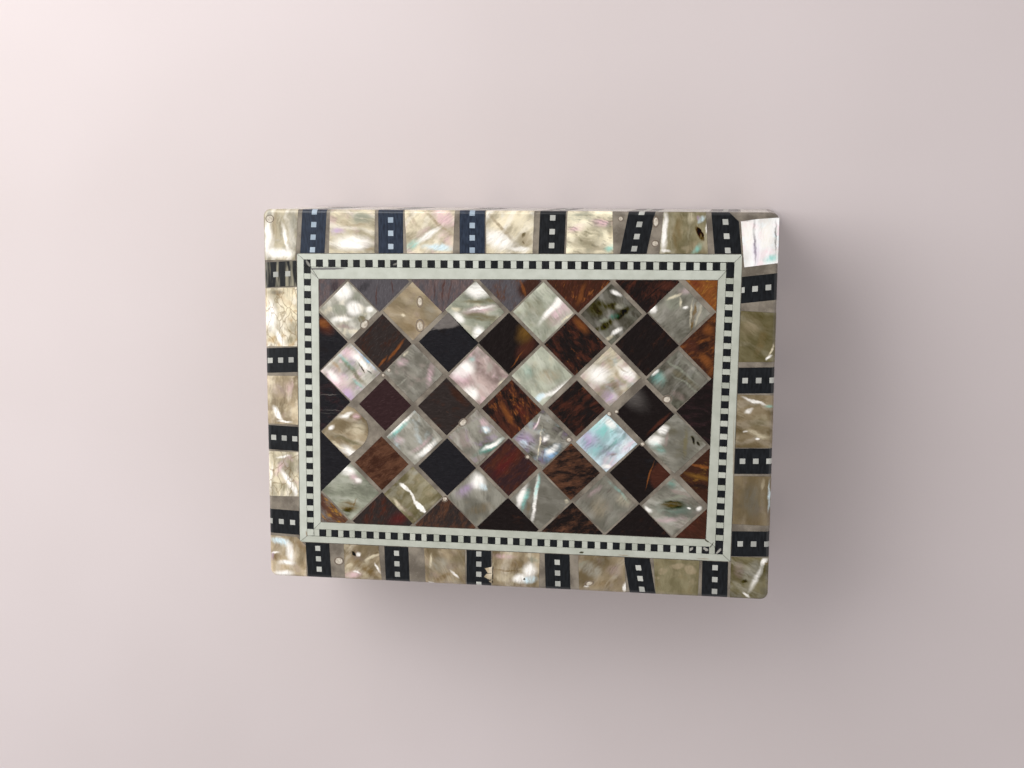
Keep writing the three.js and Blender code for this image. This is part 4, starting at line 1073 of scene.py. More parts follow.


# The border's shell. Here the dabs are at their places on the lid; the white ones are partly pale nacre and
# partly painted highlights.
BORDER_LOOKS = {
    "back_left": dict(
        body="cream", tone=0.64, tints=("silver", "white"), grain=0, ripple_sheen=0.4,
        dabs=[("white", -74.6, 48, 13, 2.6, 88, 1.0), ("buff", -72.2, 51, 12, 1.8, 86, 0.7),
              ("white", -68.9, 48, 9, 1.5, 98, 1.0), ("silver", -66.6, 51, 12, 2.6, 88, 0.8),
              ("white", -71, 43.4, 10, 3.4, 0, 1.0), ("silver", -74.2, 55.2, 2.6, 2.4, 0, 0.8, 0.4)],
    ),
    "back_1": dict(
        body="cream", tone=0.72, tints=("pink", "white"), grain=80, ripple_sheen=0.3,
        dabs=[("white", -48.5, 46.6, 14, 4.6, 0, 1.0), ("sage", -45.4, 54.0, 8, 3.8),
              ("buff", -47.8, 52.0, 9, 1.0, 3, 0.8), ("lilac", -52.8, 50.2, 4.4, 1.8, 10, 0.85),
              ("buff", -50.8, 52.8, 3, 2, 0, 0.8), ("cream", -53.2, 55, 4, 2),
              ("buff", -43.2, 44.8, 3, 1.2, 10, 0.7), ("buff", -52.8, 49.2, 3, 0.6, 0, 0.5)],
    ),
    "back_2": dict(
        body="cream", tone=0.86, tints=("buff", "pink"), grain=-50, ripple_sheen=0.25,
        dabs=[("pink", -20.6, 54.4, 8, 4, -35, 0.95), ("buff", -22.2, 52.6, 13, 1.2, -38),
              ("white", -25.4, 49.2, 11, 2.2, 35, 0.95), ("ice", -22.4, 45.6, 11, 2.4),
              ("aqua", -30.2, 46.0, 5, 2.2, 35, 0.95), ("buff", -29.4, 53, 8, 1.2, -50, 0.5),
              ("pink", -19.6, 48.2, 5, 3, -30, 0.6)],
    ),
    "back_3": dict(
        body="cream", tone=0.88, tints=("white", "buff"), grain=-45, ripple_sheen=0.35,
        dabs=[("white", -4.2, 48, 10, 6, -20, 1.0), ("buff", -3.4, 51.4, 13, 1.4, -48, 0.85),
              ("cream", 3, 53, 7, 5, 0, 0.7), ("moss", 3.1, 49.3, 1.6, 0.9, 60),
              ("moss", 2.9, 47.4, 1.3, 0.7, -40), ("buff", 3.4, 48, 4, 5, 0, 0.6),
              ("white", 2, 45.4, 7, 1.6, 0, 0.8)],
    ),
    "back_4": dict(
        body="cream", tone=1.0, tints=("sage", "buff"), grain=80, ripple_sheen=0.15, lines=0.6,
        dabs=[("sage", 20, 55, 10, 3.4, 0, 0.8), ("olive", 22, 48.4, 10, 6.4, 0, 0.6),
              ("pink", 18.2, 51.4, 5, 2, 10, 0.95), ("pink", 26, 53.2, 6.6, 2.2, -8, 0.95),
              ("gold", 28.2, 51.2, 1.6, 5, 0, 0.3), ("sage", 28, 52, 2, 5, 0, 0.7),
              ("aqua", 28, 45.8, 3, 1.8, 30), ("cream", 25.6, 44.9, 4, 1.0, 0, 0.8)],
    ),
    "back_5": dict(
        body="olive", calm=0.5, tone=1.25, tints=("buff", "olive"), grain=8, ripple_sheen=0.1,
        dabs=[("white", 43.8, 50.6, 13, 2.2, 86, 1.0), ("tan", 47.4, 50.6, 10, 3, 88, 0.45),
              ("cream", 51, 54.6, 4, 3.6, 0, 0.5), ("brown", 53.8, 50.2, 5.2, 1.7, -66, 0.95, 0.4),
              ("ice", 54.4, 54.4, 3, 1.6, 50, 1.0), ("lilac", 53.6, 54.8, 1.4, 1.0, 50, 0.8),
              ("white", 55.6, 51.8, 3.4, 0.8, 84, 0.95), ("aqua", 53.2, 46, 4, 1.4, 48),
              ("white", 44.2, 45.2, 3, 1.2, 0, 0.8), ("buff", 55, 46.4, 3, 4, 0, 0.6)],
    ),
    "back_right": dict(
        body="white", tone=1.2, tints=("ice", "pink"), grain=0, ripple_sheen=0.2, lines=0.1,
        dabs=[("white", 67.6, 50, 10, 3.8, 94, 1.0), ("white", 72.4, 49.8, 9, 4.6, 84, 1.0),
              ("slate", 69.3, 48.2, 13, 0.9, 92, 0.8), ("lilac", 69.7, 46, 9, 1.8, 92, 0.5),
              ("slate", 75.2, 49.6, 11, 0.6, 90, 0.6), ("pink", 72.6, 44.6, 5, 3, 20, 0.6),
              ("aqua", 74.2, 43.3, 4.4, 2, 10, 1.0), ("grey", 66.2, 54, 4, 1, 0, 0.6)],
    ),
    "left_3": dict(
        body="cream", tone=0.9, tints=("white", "gold"), grain=5, ripple_sheen=0.35, crackle=0.5,
        dabs=[("white", -74, 24.5, 12, 4, 88, 1.0), ("white", -71.4, 17.8, 6.5, 2, -58, 1.0),
              ("cream", -69.4, 26, 14, 4.4, 88, 0.7), ("grey", -72.2, 31.4, 5, 1.6, 0, 0.7),
              ("olive", -68.2, 17.4, 4, 2.6, 30, 0.7), ("tan", -68.8, 20.4, 3, 1, -30, 0.5),
              ("grey", -74.6, 20.2, 3, 1.2, 60, 0.4)],
    ),
    "left_2": dict(
        body="buff", calm=0.4, tone=1.12, tints=("rose", "cream"), grain=0, ripple_sheen=0.12,
        dabs=[("cream", -74.6, 1, 9, 1.6, 88, 0.6), ("rose", -70, 2, 6, 6, 0, 0.5),
              ("pink", -68.6, 3, 4.6, 2, 80, 0.8), ("white", -72.6, -5.2, 6, 2, -58, 1.0, 0.5),
              ("white", -70.4, -7.9, 5, 0.9, -6, 1.0), ("tan", -68.8, -3, 5, 2.6, 60, 0.4)],
    ),
    "left_1": dict(
        body="cream", tone=0.85, tints=("pink", "silver"), grain=0, ripple_sheen=0.3, crackle=0.5,
        dabs=[("olive", -71.6, -28.4, 3.4, 3.4, 0, 0.7), ("olive", -68.6, -22, 2.8, 5, 0, 0.5),
              ("white", -69.6, -26.4, 10, 2.2, -62, 1.0), ("pink", -72.4, -22.2, 5, 1.8, 60),
              ("white", -71, -18.6, 5, 1.0, 12), ("white", -74.9, -25, 9, 1.0, 86, 0.8),
              ("tan", -74, -22, 8, 0.5, 82, 0.7), ("white", -67.5, -29.4, 4, 1.2, 88)],
    ),
    "front_left": dict(
        body="buff", tone=1.15, tints=("rose", "tan"), grain=0, ripple_sheen=0.15,
        dabs=[("ice", -72.4, -45.6, 7, 2.6, -14, 1.0), ("white", -69.6, -48.6, 8, 2.8, -76, 1.0),
              ("white", -70.6, -52.0, 6.5, 1.8, -6, 1.0), ("white", -71.8, -55.4, 7, 2.2, 0, 1.0),
              ("tan", -73.4, -50.3, 3.4, 2.6, 0, 0.8), ("white", -74.2, -48.9, 3, 0.9, 10),
              ("lilac", -75, -50, 1.6, 2, 0, 0.6), ("tan", -66.4, -46.2, 3, 4, 30, 0.5)],
    ),
    "front_1": dict(
        body="buff", tone=0.88, tints=("rose", "cream"), grain=-35, ripple_sheen=0.15,
        dabs=[("tan", -45.6, -52.6, 11, 3, -33, 0.7), ("cream", -43.4, -49.2, 6, 1.2, 28, 0.8),
              ("black", -49.2, -48.2, 1.9, 1.1, -40, 0.95, 0.3), ("white", -47.7, -48.4, 2, 1.6, 30, 1.0),
              ("white", -41.6, -52.4, 4, 0.7, -62), ("pink", -49.6, -54.8, 5.4, 2, 10),
              ("cream", -50.6, -52, 3, 1.4, 30, 0.7), ("white", -48.2, -53.9, 2.4, 0.8, -20, 0.8)],
    ),
    "front_2": dict(
        body="buff", calm=0.4, tone=0.88, tints=("rose", "silver"), grain=30, ripple_sheen=0.08,
        dabs=[("silver", -22.4, -50.2, 7, 4.6, 20, 0.6), ("cream", -24.8, -49, 5, 1, 80, 0.7),
              ("white", -17.6, -53, 4, 0.9, -42, 0.95), ("tan", -21, -54, 8, 2, 30, 0.5),
              ("white", -25, -56, 2, 0.8, 0, 0.8), ("olive", -17, -49, 5, 5, 0, 0.4)],
    ),
    "front_3": dict(
        body="buff", tone=0.9, tints=("cream", "rose"), grain=0, ripple_sheen=0.15,
        dabs=[("white", 5.4, -51, 5.4, 6, 20, 1.0), ("white", 2.4, -53.6, 5, 3, 0, 1.0),
              ("ice", 5.6, -54, 5, 2.6, 10, 1.0), ("sage", 6.6, -47.6, 4, 2, -20, 0.8),
              ("moss", 3.8, -53.7, 0.9, 0.7, 0, 0.95, 0.3), ("pink", -2.6, -46.8, 7, 1.4, 0, 0.7),
              ("tan", -2, -51.2, 8, 0.5, 0, 0.7), ("tan", 1, -49, 5, 3, 0, 0.4),
              ("cream", -3, -53.4, 5, 3, 0, 0.5)],
    ),
    "front_4": dict(
        body="buff", calm=0.5, tone=0.8, tints=("silver", "rose"), grain=-30, ripple_sheen=0.08,
        dabs=[("silver", 24, -49.6, 7, 4.6, -20, 0.8), ("rose", 31, -49.6, 6, 4, 0, 0.6),
              ("tan", 28, -53.6, 9, 2.4, 10, 0.4), ("white", 22.8, -54.8, 1.8, 0.9, 20),
              ("white", 34.2, -54.6, 3.4, 1.6, 78), ("sage", 21.4, -47.8, 4, 1.4, 30, 0.6)],
    ),
    "front_5": dict(
        body="olive", calm=0.8, tone=1.14, tints=("tan", "buff"), grain=10, ripple_sheen=0.0, lines=0.1,
        dabs=[("buff", 45.1, -49.4, 2.6, 2.4, 0, 0.85, 0.3), ("buff", 49.4, -47.6, 5, 2, 10, 0.8, 0.4),
              ("buff", 53.2, -48.6, 4, 2.8, -20, 0.8, 0.4), ("buff", 43.8, -51.2, 2, 1, 0, 0.6)],
    ),
    "front_right": dict(
        body="olive", tone=0.95, calm=0.6, tints=("grey", "silver"), grain=65, ripple_sheen=0.12,
        dabs=[("silver", 71, -48, 8, 4.6, 60, 0.7), ("white", 72.4, -50, 11, 1.8, 66, 0.75, 0.95),
              ("white", 74.8, -45, 3.4, 1.6, 50, 1.0), ("white", 69.8, -55.2, 3.4, 1.0, -40, 0.95),
              ("silver", 74, -47.6, 5, 0.8, 80, 0.8), ("moss", 69.3, -51, 2.4, 1.1, 8, 0.75),
              ("tan", 75.6, -45.6, 1.4, 0.6, 0, 0.8), ("rose", 67.4, -48, 4, 6, 0, 0.5)],
    ),
    "right_1": dict(
        body="buff", calm=0.9, tone=0.68, tints=("grey", "rose"), grain=0, ripple_sheen=0.04, lines=0.1,
        dabs=[("grey", 71, -27, 8, 12, 0, 0.6), ("ice", 75.6, -25.4, 10, 0.9, 91, 0.95),
              ("cream", 73.6, -22, 4, 1, 80, 0.4)],
    ),
    "right_2": dict(
        body="buff", tone=0.72, calm=0.6, tints=("cream", "olive"), grain=80, ripple_sheen=0.1,
        dabs=[("white", 70.6, 2.4, 7.6, 1.1, -16, 1.0), ("aqua", 74.6, 1.1, 2.6, 0.8, -4, 0.8),
              ("white", 69.2, -0.2, 3, 1.4, 20, 0.8), ("olive", 72, -3.6, 7, 5, 0, 0.5),
              ("cream", 71.4, -7, 8, 2, -20, 0.6), ("white", 71.6, -8.6, 1.6, 0.9, 20, 1.0),
              ("white", 68.2, -6.6, 1.6, 0.8, 0, 0.7)],
    ),
    "right_3": dict(
        body="olive", calm=0.8, tone=0.92, tints=("buff", "olive"), grain=60, ripple_sheen=0.06, lines=0.15,
        dabs=[("buff", 69, 24, 7, 6, 30, 0.5), ("cream", 75.1, 17.4, 5, 0.8, 76, 0.95),
              ("white", 74.6, 15.2, 2.6, 0.9, 40, 1.0), ("tan", 72, 20, 12, 3, 70, 0.3)],
    ),
}


def side_line(side, line):
    """The two ends of a banding line on one side, clockwise."""
    number = SIDES.index(side)
    return line[number], line[(number + 1) % 4]


def border_cuts(side, level):
    """A border piece ends at the lid's edge, and just short of the banding."""
    def at_banding():
        second, first = side_line(side, OUTER_LINE)
        trim_at_line(first, second, gap=0.12)
    return [lambda: trim_at_lid_edge(level), at_banding]


def border_point(side, along, from_edge):
    """A point of the border, from its place along the side and its distance from the lid's edge."""
    return {
        "back": (along, HALF_WIDTH - from_edge),
        "front": (along, -HALF_WIDTH + from_edge),
        "left": (-HALF_LENGTH + from_edge, along),
        "right": (HALF_LENGTH - from_edge, along),
    }[side]


def border_shells():
    """Each shell piece's name, corners and cuts. It starts past the lid's edge and reaches past the
    banding's line, and the cuts then trim it."""
    past, deep = -2.0, 13.6
    for side, spans in SHELLS_LAID.items():
        for number, (edge_from, edge_to, in_from, in_to) in enumerate(spans, 1):
            corners = [
                border_point(side, edge_from, past),
                border_point(side, edge_to, past),
                border_point(side, in_to, deep),
                border_point(side, in_from, deep),
            ]
            yield f"{side}_{number}", corners, border_cuts(side, SHELL_LEVEL)
    for name, corners in CORNER_SHELLS_LAID.items():
        yield name, corners, [lambda: trim_at_lid_edge(SHELL_LEVEL)]


def lay_border_shells():
    for number, (name, corners, cuts) in enumerate(border_shells()):
        piece = tile(f"border_shell_{name}", LID, corners, cuts, pocket="lid")
        painted_with(piece, nacre(f"nacre_{name}", seed=41 + 4.7 * number, **BORDER_LOOKS[name]))
        placed(piece, "pearl")


# The ebony strips, each with its row of small white squares.
def strip_corners(side, number):
    """The four corners of a strip's underside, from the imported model: two at the lid's edge, then two
    at the banding."""
    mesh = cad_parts[f"ebony_strip_{side}_{number}"].data
    way = 0 if side in LONG_SIDES else 1
    places = {(round(p.co.x / MM, 3), round(p.co.y / MM, 3)) for p in mesh.vertices
              if abs(p.co.z / MM - (TOP - PIECE)) < NEAR}
    at_edge = 0.05
    outer = {p for p in places if abs(off_outline(*p, 0)) < at_edge}
    ends = []
    for group in (outer, places - outer):
        ends.append(Vector(min(group, key=lambda p: p[way])))
        ends.append(Vector(max(group, key=lambda p: p[way])))
    return ends[0], ends[1], ends[3], ends[2]


LAST_BACK_STRIP_ENDS_AT = (60.8, 57.6), (67.3, 51.4)  # its outer corner is cut off


def dotted_strips(black, blue, worn, white, pale_blue):
    random.seed(9)
    longer_by = 3
    for side, rows in SQUARES_LAID.items():
        for number, (first, pitch) in enumerate(rows, 1):
            a, b, c, d = strip_corners(side, number)
            out = ((a + b) - (c + d)).normalized()
            more = out * longer_by
            longer = [a + more, b + more, c - more, d - more]
            cuts = border_cuts(side, EBONY_LEVEL)
            if (side, number) == ("back", 6):
                cuts.append(lambda: trim_at_line(*LAST_BACK_STRIP_ENDS_AT, gap=0))
            name = f"dotted_strip_{side}_{number}"
            strip = tile(name, LID, [tuple(p) for p in longer], cuts, EBONY_LEVEL, pocket="lid")
            is_blue = (side, number) in BLUE_STRIPS
            painted_with(strip, worn if (side, number) in WORN_STRIPS else blue if is_blue else black)
            parts = [strip]
            edge_middle = (a + b) / 2
            across = (b - a).normalized() * SQUARE / 2
            length = (edge_middle - (c + d) / 2).length
            up = out * SQUARE / 2
            from_edge = first
            while from_edge < length + GLUE * 2:
                middle = edge_middle - out * from_edge
                corners = [
                    middle - across + up, middle + across + up, middle + across - up, middle - across - up,
                ]
                square = tile("white_square", LID, [tuple(p) for p in corners],
                              border_cuts(side, BONE_LEVEL), BONE_LEVEL, cut=random.random())
                parts.append(painted_with(square, pale_blue if is_blue else white))
                from_edge += pitch
            placed(joined(name, parts), "ebony", f"ebony_strip_{side}_{number}")


# The banding: a white strip, a row of black and white squares, and a wider white strip.
def towards(first, second, share):
    return Vector(first) * (1 - share) + Vector(second) * share


def quad(outer, inner, gap):
    """The corners between two pieces of line, a little smaller on every side."""
    corners = [Vector(outer[0]), Vector(outer[1]), Vector(inner[1]), Vector(inner[0])]
    made = []
    for number, corner in enumerate(corners):
        before = (corners[number - 1] - corner).normalized()
        after = (corners[(number + 1) % 4] - corner).normalized()
        spread = max(0.3, abs(before.cross(after)))
        made.append(corner + (before + after) * gap / spread)
    return [tuple(corner) for corner in made]


def outwards(line):
    """The direction from a banding line to the lid's edge."""
    run = (Vector(line[1]) - Vector(line[0])).normalized()
    return Vector((-run.y, run.x))


def chequer(outer, inner, count, black, white, starts_black):
    """A row of black and white squares between two lines: one of each made, the rest copied. The
    black ones are a little wider than the pitch, and the white ones narrower."""
    start = Vector(inner[0])
    step = (Vector(inner[1]) - start) / count
    out = outwards(inner)
    depth = (towards(*outer, 0.5) - start).dot(out)
    middle = count // 2
    uneven = 0.07  # how far a square lies off its place, as a share of the pitch
    masters = []
    for colour, spread in ((black, 0.03), (white, -0.05)):
        edge = [start + step * (middle - spread), start + step * (middle + 1 + spread)]
        corners = quad([point + out * depth for point in edge], edge, gap=0.03)
        master = tile("chequer_square", LID, corners, level=BONE_LEVEL, thickness=CHEQUER_THICKNESS)
        masters.append(painted_with(master, colour))
    if not starts_black:
        masters.reverse()
    parts = []
    for number in range(count):
        move = step * (number - middle + random.uniform(-uneven, uneven))
        square = copied(masters[number % 2], Vector((move.x, move.y, 0)))
        same_number = [random.random()] * len(square.data.vertices)
        square.data.attributes["cut"].data.foreach_set("value", same_number)
        parts.append(square)
    for master in masters:
        bpy.data.objects.remove(master)
    return parts


def corner_square(number, colour):
    """The square where two rows meet."""
    outer, inner = Vector(CHEQUER_OUTER[number]), Vector(CHEQUER_INNER[number])
    before = (CHEQUER_INNER[number - 1], CHEQUER_INNER[number])
    after = (CHEQUER_INNER[number], CHEQUER_INNER[(number + 1) % 4])
    depth = (outer - inner).dot(outwards(after))
    first = inner + outwards(before) * depth
    last = inner + outwards(after) * depth
    square = tile("corner_square", LID, quad((first, outer), (inner, last), gap=0.03), level=BONE_LEVEL,
                  thickness=CHEQUER_THICKNESS, cut=random.random())
    return painted_with(square, colour)


# Old cracks, holes and filler in the banding, and pale breaks in its black squares.
WHITE_BONE_MARKS = [
    ("dusk", -56.8, 38.9, 13, 0.8, 1, 0.8, 0.3), ("tan", -65.0, -44.6, 4.4, 0.5, 40, 0.9, 0.3),
    ("tan", -64.0, -43.0, 3.0, 0.5, 100, 0.8, 0.3), ("grey", -60.4, 37.2, 4.0, 0.5, 135, 0.6, 0.3),
]
SHADED_BONE_MARKS = [
    ("moss", 21.0, -44.6, 1.5, 0.7, 10, 1.0, 0.3), ("tan", 33.4, -44.9, 3.4, 0.4, 0, 0.7, 0.3),
    ("tan", 65.2, -22.0, 44, 0.5, 91, 0.7, 0.3), ("moss", 57.8, -39.4, 1.6, 0.5, -40, 0.9, 0.3),
    ("moss", 59.4, -40.6, 2.4, 0.4, 60, 0.8, 0.3), ("tan", 57.0, -44.9, 4.0, 0.4, 0, 0.6, 0.3),
]
BREAKS = [
    ("silver", 53.4, -42.1, 1.6, 0.8, 40, 0.8, 0.3), ("silver", 57.6, -41.9, 1.8, 0.9, -30, 0.8, 0.3),
    ("silver", 61.4, -42.4, 2.2, 0.8, 45, 0.8, 0.3), ("grey", 61.0, 39.6, 2.4, 0.7, 45, 0.7, 0.3),
    ("grey", -62.2, 40.4, 2.6, 0.8, 120, 0.8, 0.3), ("grey", -35.2, 40.6, 2.0, 0.6, 20, 0.6, 0.3),
]


def banding(lighter_shade, darker_shade, black):
    random.seed(21)
    for side in SIDES:
        # The front and right bandings get the darker bone: painted shade, where the light falls off across
        # the lid.
        white = darker_shade if side in ("front", "right") else lighter_shade
        outer, first, second, inner = (
            side_line(side, line) for line in (OUTER_LINE, CHEQUER_OUTER, CHEQUER_INNER, INNER_LINE)
        )
        recess = flat_outline("banding_recess", LID, quad(outer, inner, gap=0))
        thicken(LID, PIECE)
        bpy.ops.object.mode_set(mode="OBJECT")
        cut_pocket(recess, LID, "lid")
        bpy.data.objects.remove(recess)
        strips = [
            tile("outer_strip", LID, quad(outer, first, gap=0.05), level=BONE_LEVEL, cut=0.6),
            tile("inner_strip", LID, quad(second, inner, gap=0.05), level=BONE_LEVEL, cut=0.5),
        ]
        parts = [painted_with(strip, white) for strip in strips]
        starts_black = side in ("left", "right")
        parts += chequer(first, second, CHEQUER_SQUARES[side], black, white, starts_black)
        parts.append(corner_square(SIDES.index(side), white if side == "left" else black))
        placed(joined(f"chequered_banding_{side}", parts), "bone", f"banding_{side}")


# The sides of the box and of the lid: upright shell panels between dotted strips, plainer.
PANEL_THICKNESS = 1.0
WALL_HIGH = box_of("front_skin")[1].z
WALL_LOW = box_of("front_skin")[0].z
HALF_STRIP = 3.75
BONE_LINE = 1.5
LINE_MARGIN = 0.9  # from a wall's upper and lower edge, and from the lid's lower edge
LID_MARGIN = 0.35  # below the lid's inlay
PANEL_GAP = 0.7
END_MARGIN = 2.9


def panels_end(side):
    """How far a side's panels reach from its middle."""
    return (HALF_LENGTH if side in LONG_SIDES else HALF_WIDTH) - END_MARGIN


def strip_places(side):
    """The middles of a side's strips along it, where the lid's strips meet its edge."""
    places = []
    for number in range(1, len(SQUARES_LAID[side]) + 1):
        a, b, *_ = strip_corners(side, number)
        middle = (a + b) / 2
        places.append(middle.x if side in LONG_SIDES else middle.y)
    return places


def upright(start, end, low, high):
    """A rectangle's corners on a wall."""
    return [(start, low), (end, low), (end, high), (start, high)]


def side_panels(side, part, low, high, black, white, shell):
    """One row of shell panels and dotted strips on a side, between two heights."""
    face = WALLS[side]
    end = panels_end(side)
    pocket = f"{side}_wall" if part == "wall" else "lid"
    shells, strips = [], []
    half = SQUARE / 2
    square = tile("white_square", face, upright(-half, half, -half, half), level=BONE_LEVEL,
                  thickness=SQUARE_THICKNESS)
    painted_with(square, white)
    start = -end
    for place in strip_places(side) + [None]:
        stop = end if place is None else place - HALF_STRIP - PANEL_GAP
        panel = tile("panel", face, upright(start, stop, low, high), level=SHELL_LEVEL,
                     thickness=PANEL_THICKNESS, pocket=pocket, cut=random.random())
        shells.append(painted_with(panel, shell))
        if place is None:
            break
        start = place + HALF_STRIP + PANEL_GAP
        strip = tile("strip", face, upright(place - HALF_STRIP, place + HALF_STRIP, low, high),
                     level=EBONY_LEVEL, thickness=PANEL_THICKNESS, pocket=pocket, cut=random.random())
        strips.append(painted_with(strip, black))
        count = int((high - low) // SIDE_PITCH)
        bottom = (low + high - (count - 1) * SIDE_PITCH) / 2
        for number in range(count):
            step = face.along * place + Z_WAY * (bottom + number * SIDE_PITCH)
            strips.append(copied(square, step))
    bpy.data.objects.remove(square)
    placed(joined(f"{side}_{part}_shell_panels", shells), "pearl")
    placed(joined(f"{side}_{part}_dotted_strips", strips), "ebony")


def bone_lines(side, white):
    face = WALLS[side]
    end = panels_end(side)
    lines = []
    for low in (WALL_LOW + LINE_MARGIN, WALL_HIGH - LINE_MARGIN - BONE_LINE):
        line = tile("line", face, upright(-end, end, low, low + BONE_LINE), level=BONE_LEVEL,
                    thickness=PANEL_THICKNESS, pocket=f"{side}_wall", cut=random.random())
        lines.append(painted_with(line, white))
    placed(joined(f"{side}_wall_bone_lines", lines), "bone")


def dress_sides(black, white, shell):
    random.seed(4)
    wall_low = WALL_LOW + LINE_MARGIN + BONE_LINE + PANEL_GAP
    wall_high = WALL_HIGH - LINE_MARGIN - BONE_LINE - PANEL_GAP
    lid_low, lid_high = LID_LOW.z + LINE_MARGIN, TOP - PIECE - LID_MARGIN
    for side in SIDES:
        side_panels(side, "wall", wall_low, wall_high, black, white, shell)
        side_panels(side, "lid_edge", lid_low, lid_high, black, white, shell)
        bone_lines(side, white)


# The grounds, with a pocket for each piece.
def block_between(name, low, high):
    bpy.ops.object.select_all(action="DESELECT")
    bpy.ops.mesh.primitive_cube_add(size=1, location=(low + high) / 2 * MM, scale=(high - low) * MM)
    piece = bpy.context.object
    piece.name = piece.data.name = name
    bpy.ops.object.transform_apply(location=True, rotation=True, scale=True)
    return piece


def cut_out(piece, tool):
    """Takes the tool's shape out of a piece."""
    pick(piece)
    cut = piece.modifiers.new("cut", "BOOLEAN")
    cut.object = tool
    cut.operation = "DIFFERENCE"
    cut.solver = "EXACT"
    cut.use_self = True
    bpy.ops.object.modifier_apply(modifier=cut.name)
    bpy.data.objects.remove(tool)


def round_block(name, low, high):
    """A block as long and wide as the box, less the ground's level, with round upright corners."""
    reach = Vector((HALF_LENGTH - GROUND_LEVEL, HALF_WIDTH - GROUND_LEVEL))
    piece = block_between(name, Vector((-reach.x, -reach.y, low)), Vector((reach.x, reach.y, high)))

    def stands(first, second):
        return abs(first.x - second.x) < NEAR and abs(first.y - second.y) < NEAR

    with edit_mode():
        bevel_edges(piece, stands, CORNER_RADIUS - GROUND_LEVEL, GROUND_STEPS)
    return piece


def lid_ground(material):
    top = LID.origin.z - GROUND_LEVEL
    piece = round_block("lid_resin_ground", LID_LOW.z, top)

    def at_top(first, second):
        return abs(first.z - top) < NEAR and abs(second.z - top) < NEAR

    with edit_mode():
        bevel_edges(piece, at_top, WORN_EDGE, GROUND_STEPS)
    glue = Vector((GLUE, GLUE, GLUE))
    well_below = 5
    slab_low = Vector((BOARD_LOW.x, BOARD_LOW.y, LID_LOW.z - well_below))
    cut_out(piece, block_between("lid_hollow", slab_low - glue, BOARD_HIGH + glue))
    cut_out(piece, joined("lid_pockets", [from_mesh(mesh) for mesh in cutters["lid"]]))
    pick(piece)
    smooth(piece)
    placed(painted_with(piece, material), "resin_ground", "lid_ground")


def wall_ground(side, material):
    node = f"{side}_skin"
    low, high = box_of(node)
    piece = round_block(f"{side}_wall_resin_ground", low.z, high.z)
    with edit_mode():
        for way, half in ((X_WAY, HALF_LENGTH), (Y_WAY, HALF_WIDTH)):
            for sign, corner in ((1, high), (-1, low)):
                if abs(corner.dot(way)) < half - NEAR:
                    trim(way * corner.dot(way) * MM, way * sign, filled=True)
    cut_out(piece, joined(f"{side}_pockets", [from_mesh(mesh) for mesh in cutters[f"{side}_wall"]]))
    pick(piece)
    smooth(piece)
    placed(painted_with(piece, material), "resin_ground", node)


# Bubbles in the ground: place, half width, half height, turn.
BUBBLES = [
    (-45.0, 22.4, 1.5, 1.1, 55), (-28.0, 29.5, 0.9, 1.6, 0), (-28.0, 22.4, 1.2, 1.8, 0),
    (-15.0, -6.4, 1.4, 1.0, 40), (45.5, 2.3, 1.3, 1.1, 20), (-20.6, -30.0, 1.0, 0.8, 30),
    (28.7, -2.5, 0.7, 0.6, 0), (30.8, -1.8, 0.6, 0.5, 0), (16.9, -10.6, 0.9, 0.8, 0),
    (4.5, -16.2, 0.7, 0.6, 0), (-37.6, 8.8, 0.6, 0.6, 0), (-39.4, 7.2, 0.5, 0.5, 0),
    (38.6, -11.2, 0.7, 0.6, 0), (31.2, 54.4, 0.7, 0.7, 0), (41.2, 47.4, 1.0, 0.9, 0),
    (41.3, 53.6, 0.8, 1.5, 0), (-53.9, -50.8, 1.4, 1.2, 0), (-73.8, 53.6, 1.2, 1.1, 0),
    (23.4, -54.0, 1.4, 0.7, 20),
]


def bubbles(material):
    """Small resin blobs, a hair proud of the shell, each a low dome in a thin rim."""
    half_height = 0.05
    rim = 0.13  # its thickness, for a ring of radius 1
    dome_share = 0.8  # of the rim's size
    parts = []
    for x, y, half_x, half_y, turn in BUBBLES:
        place = Vector((x, y, TOP - half_height)) * MM
        bpy.ops.object.select_all(action="DESELECT")
        bpy.ops.mesh.primitive_uv_sphere_add(segments=20, ring_count=8, radius=MM, location=place)
        dome = bpy.context.object
        dome.scale = Vector((half_x, half_y, half_height)) * dome_share
        bpy.ops.mesh.primitive_torus_add(
            location=place, major_segments=24, minor_segments=8, major_radius=MM, minor_radius=rim * MM
        )
        ring = bpy.context.object
        ring.scale = (half_x, half_y, half_height / rim * 0.98)
        for part, cut in ((dome, 1.0), (ring, 0.0)):
            pick(part)
            part.rotation_euler.z = math.radians(turn)
            bpy.ops.object.transform_apply(location=True, rotation=True, scale=True)
            bpy.ops.object.shade_smooth()
            mark_cut(part, cut)
            parts.append(painted_with(part, material))
    placed(joined("resin_bubbles", parts), "resin_ground")


def bubble_resin(name):
    """Clearer resin: a pale dome in a darker rim, by the cut attribute."""
    recipe = Recipe(name)
    cut = recipe.cut()
    clouds = recipe.noise(recipe.place, 0.8, detail=4)
    inner = recipe.mix(recipe.ramp(clouds, 0.3, 0.7), seen(176, 164, 148), seen(222, 214, 200))
    colour = recipe.mix(cut, seen(120, 106, 92), inner)
    recipe.relief(clouds, 0.02)
    return recipe.finish(colour, recipe.ramp(clouds, 0.3, 0.7, 0.25, 0.4), coat=0.6)


# Shell splinters over the ragged side of the front's third strip.
SPLINTERS = [
    [(-8.4, -50.9), (-5.6, -50.2), (-5.8, -52.2), (-7.4, -52.4)],
    [(-7.9, -52.6), (-5.7, -52.3), (-5.7, -54.2), (-7.0, -54.4), (-8.6, -53.6)],
    [(-7.2, -54.8), (-5.8, -54.4), (-5.7, -55.3), (-6.6, -55.3)],
]


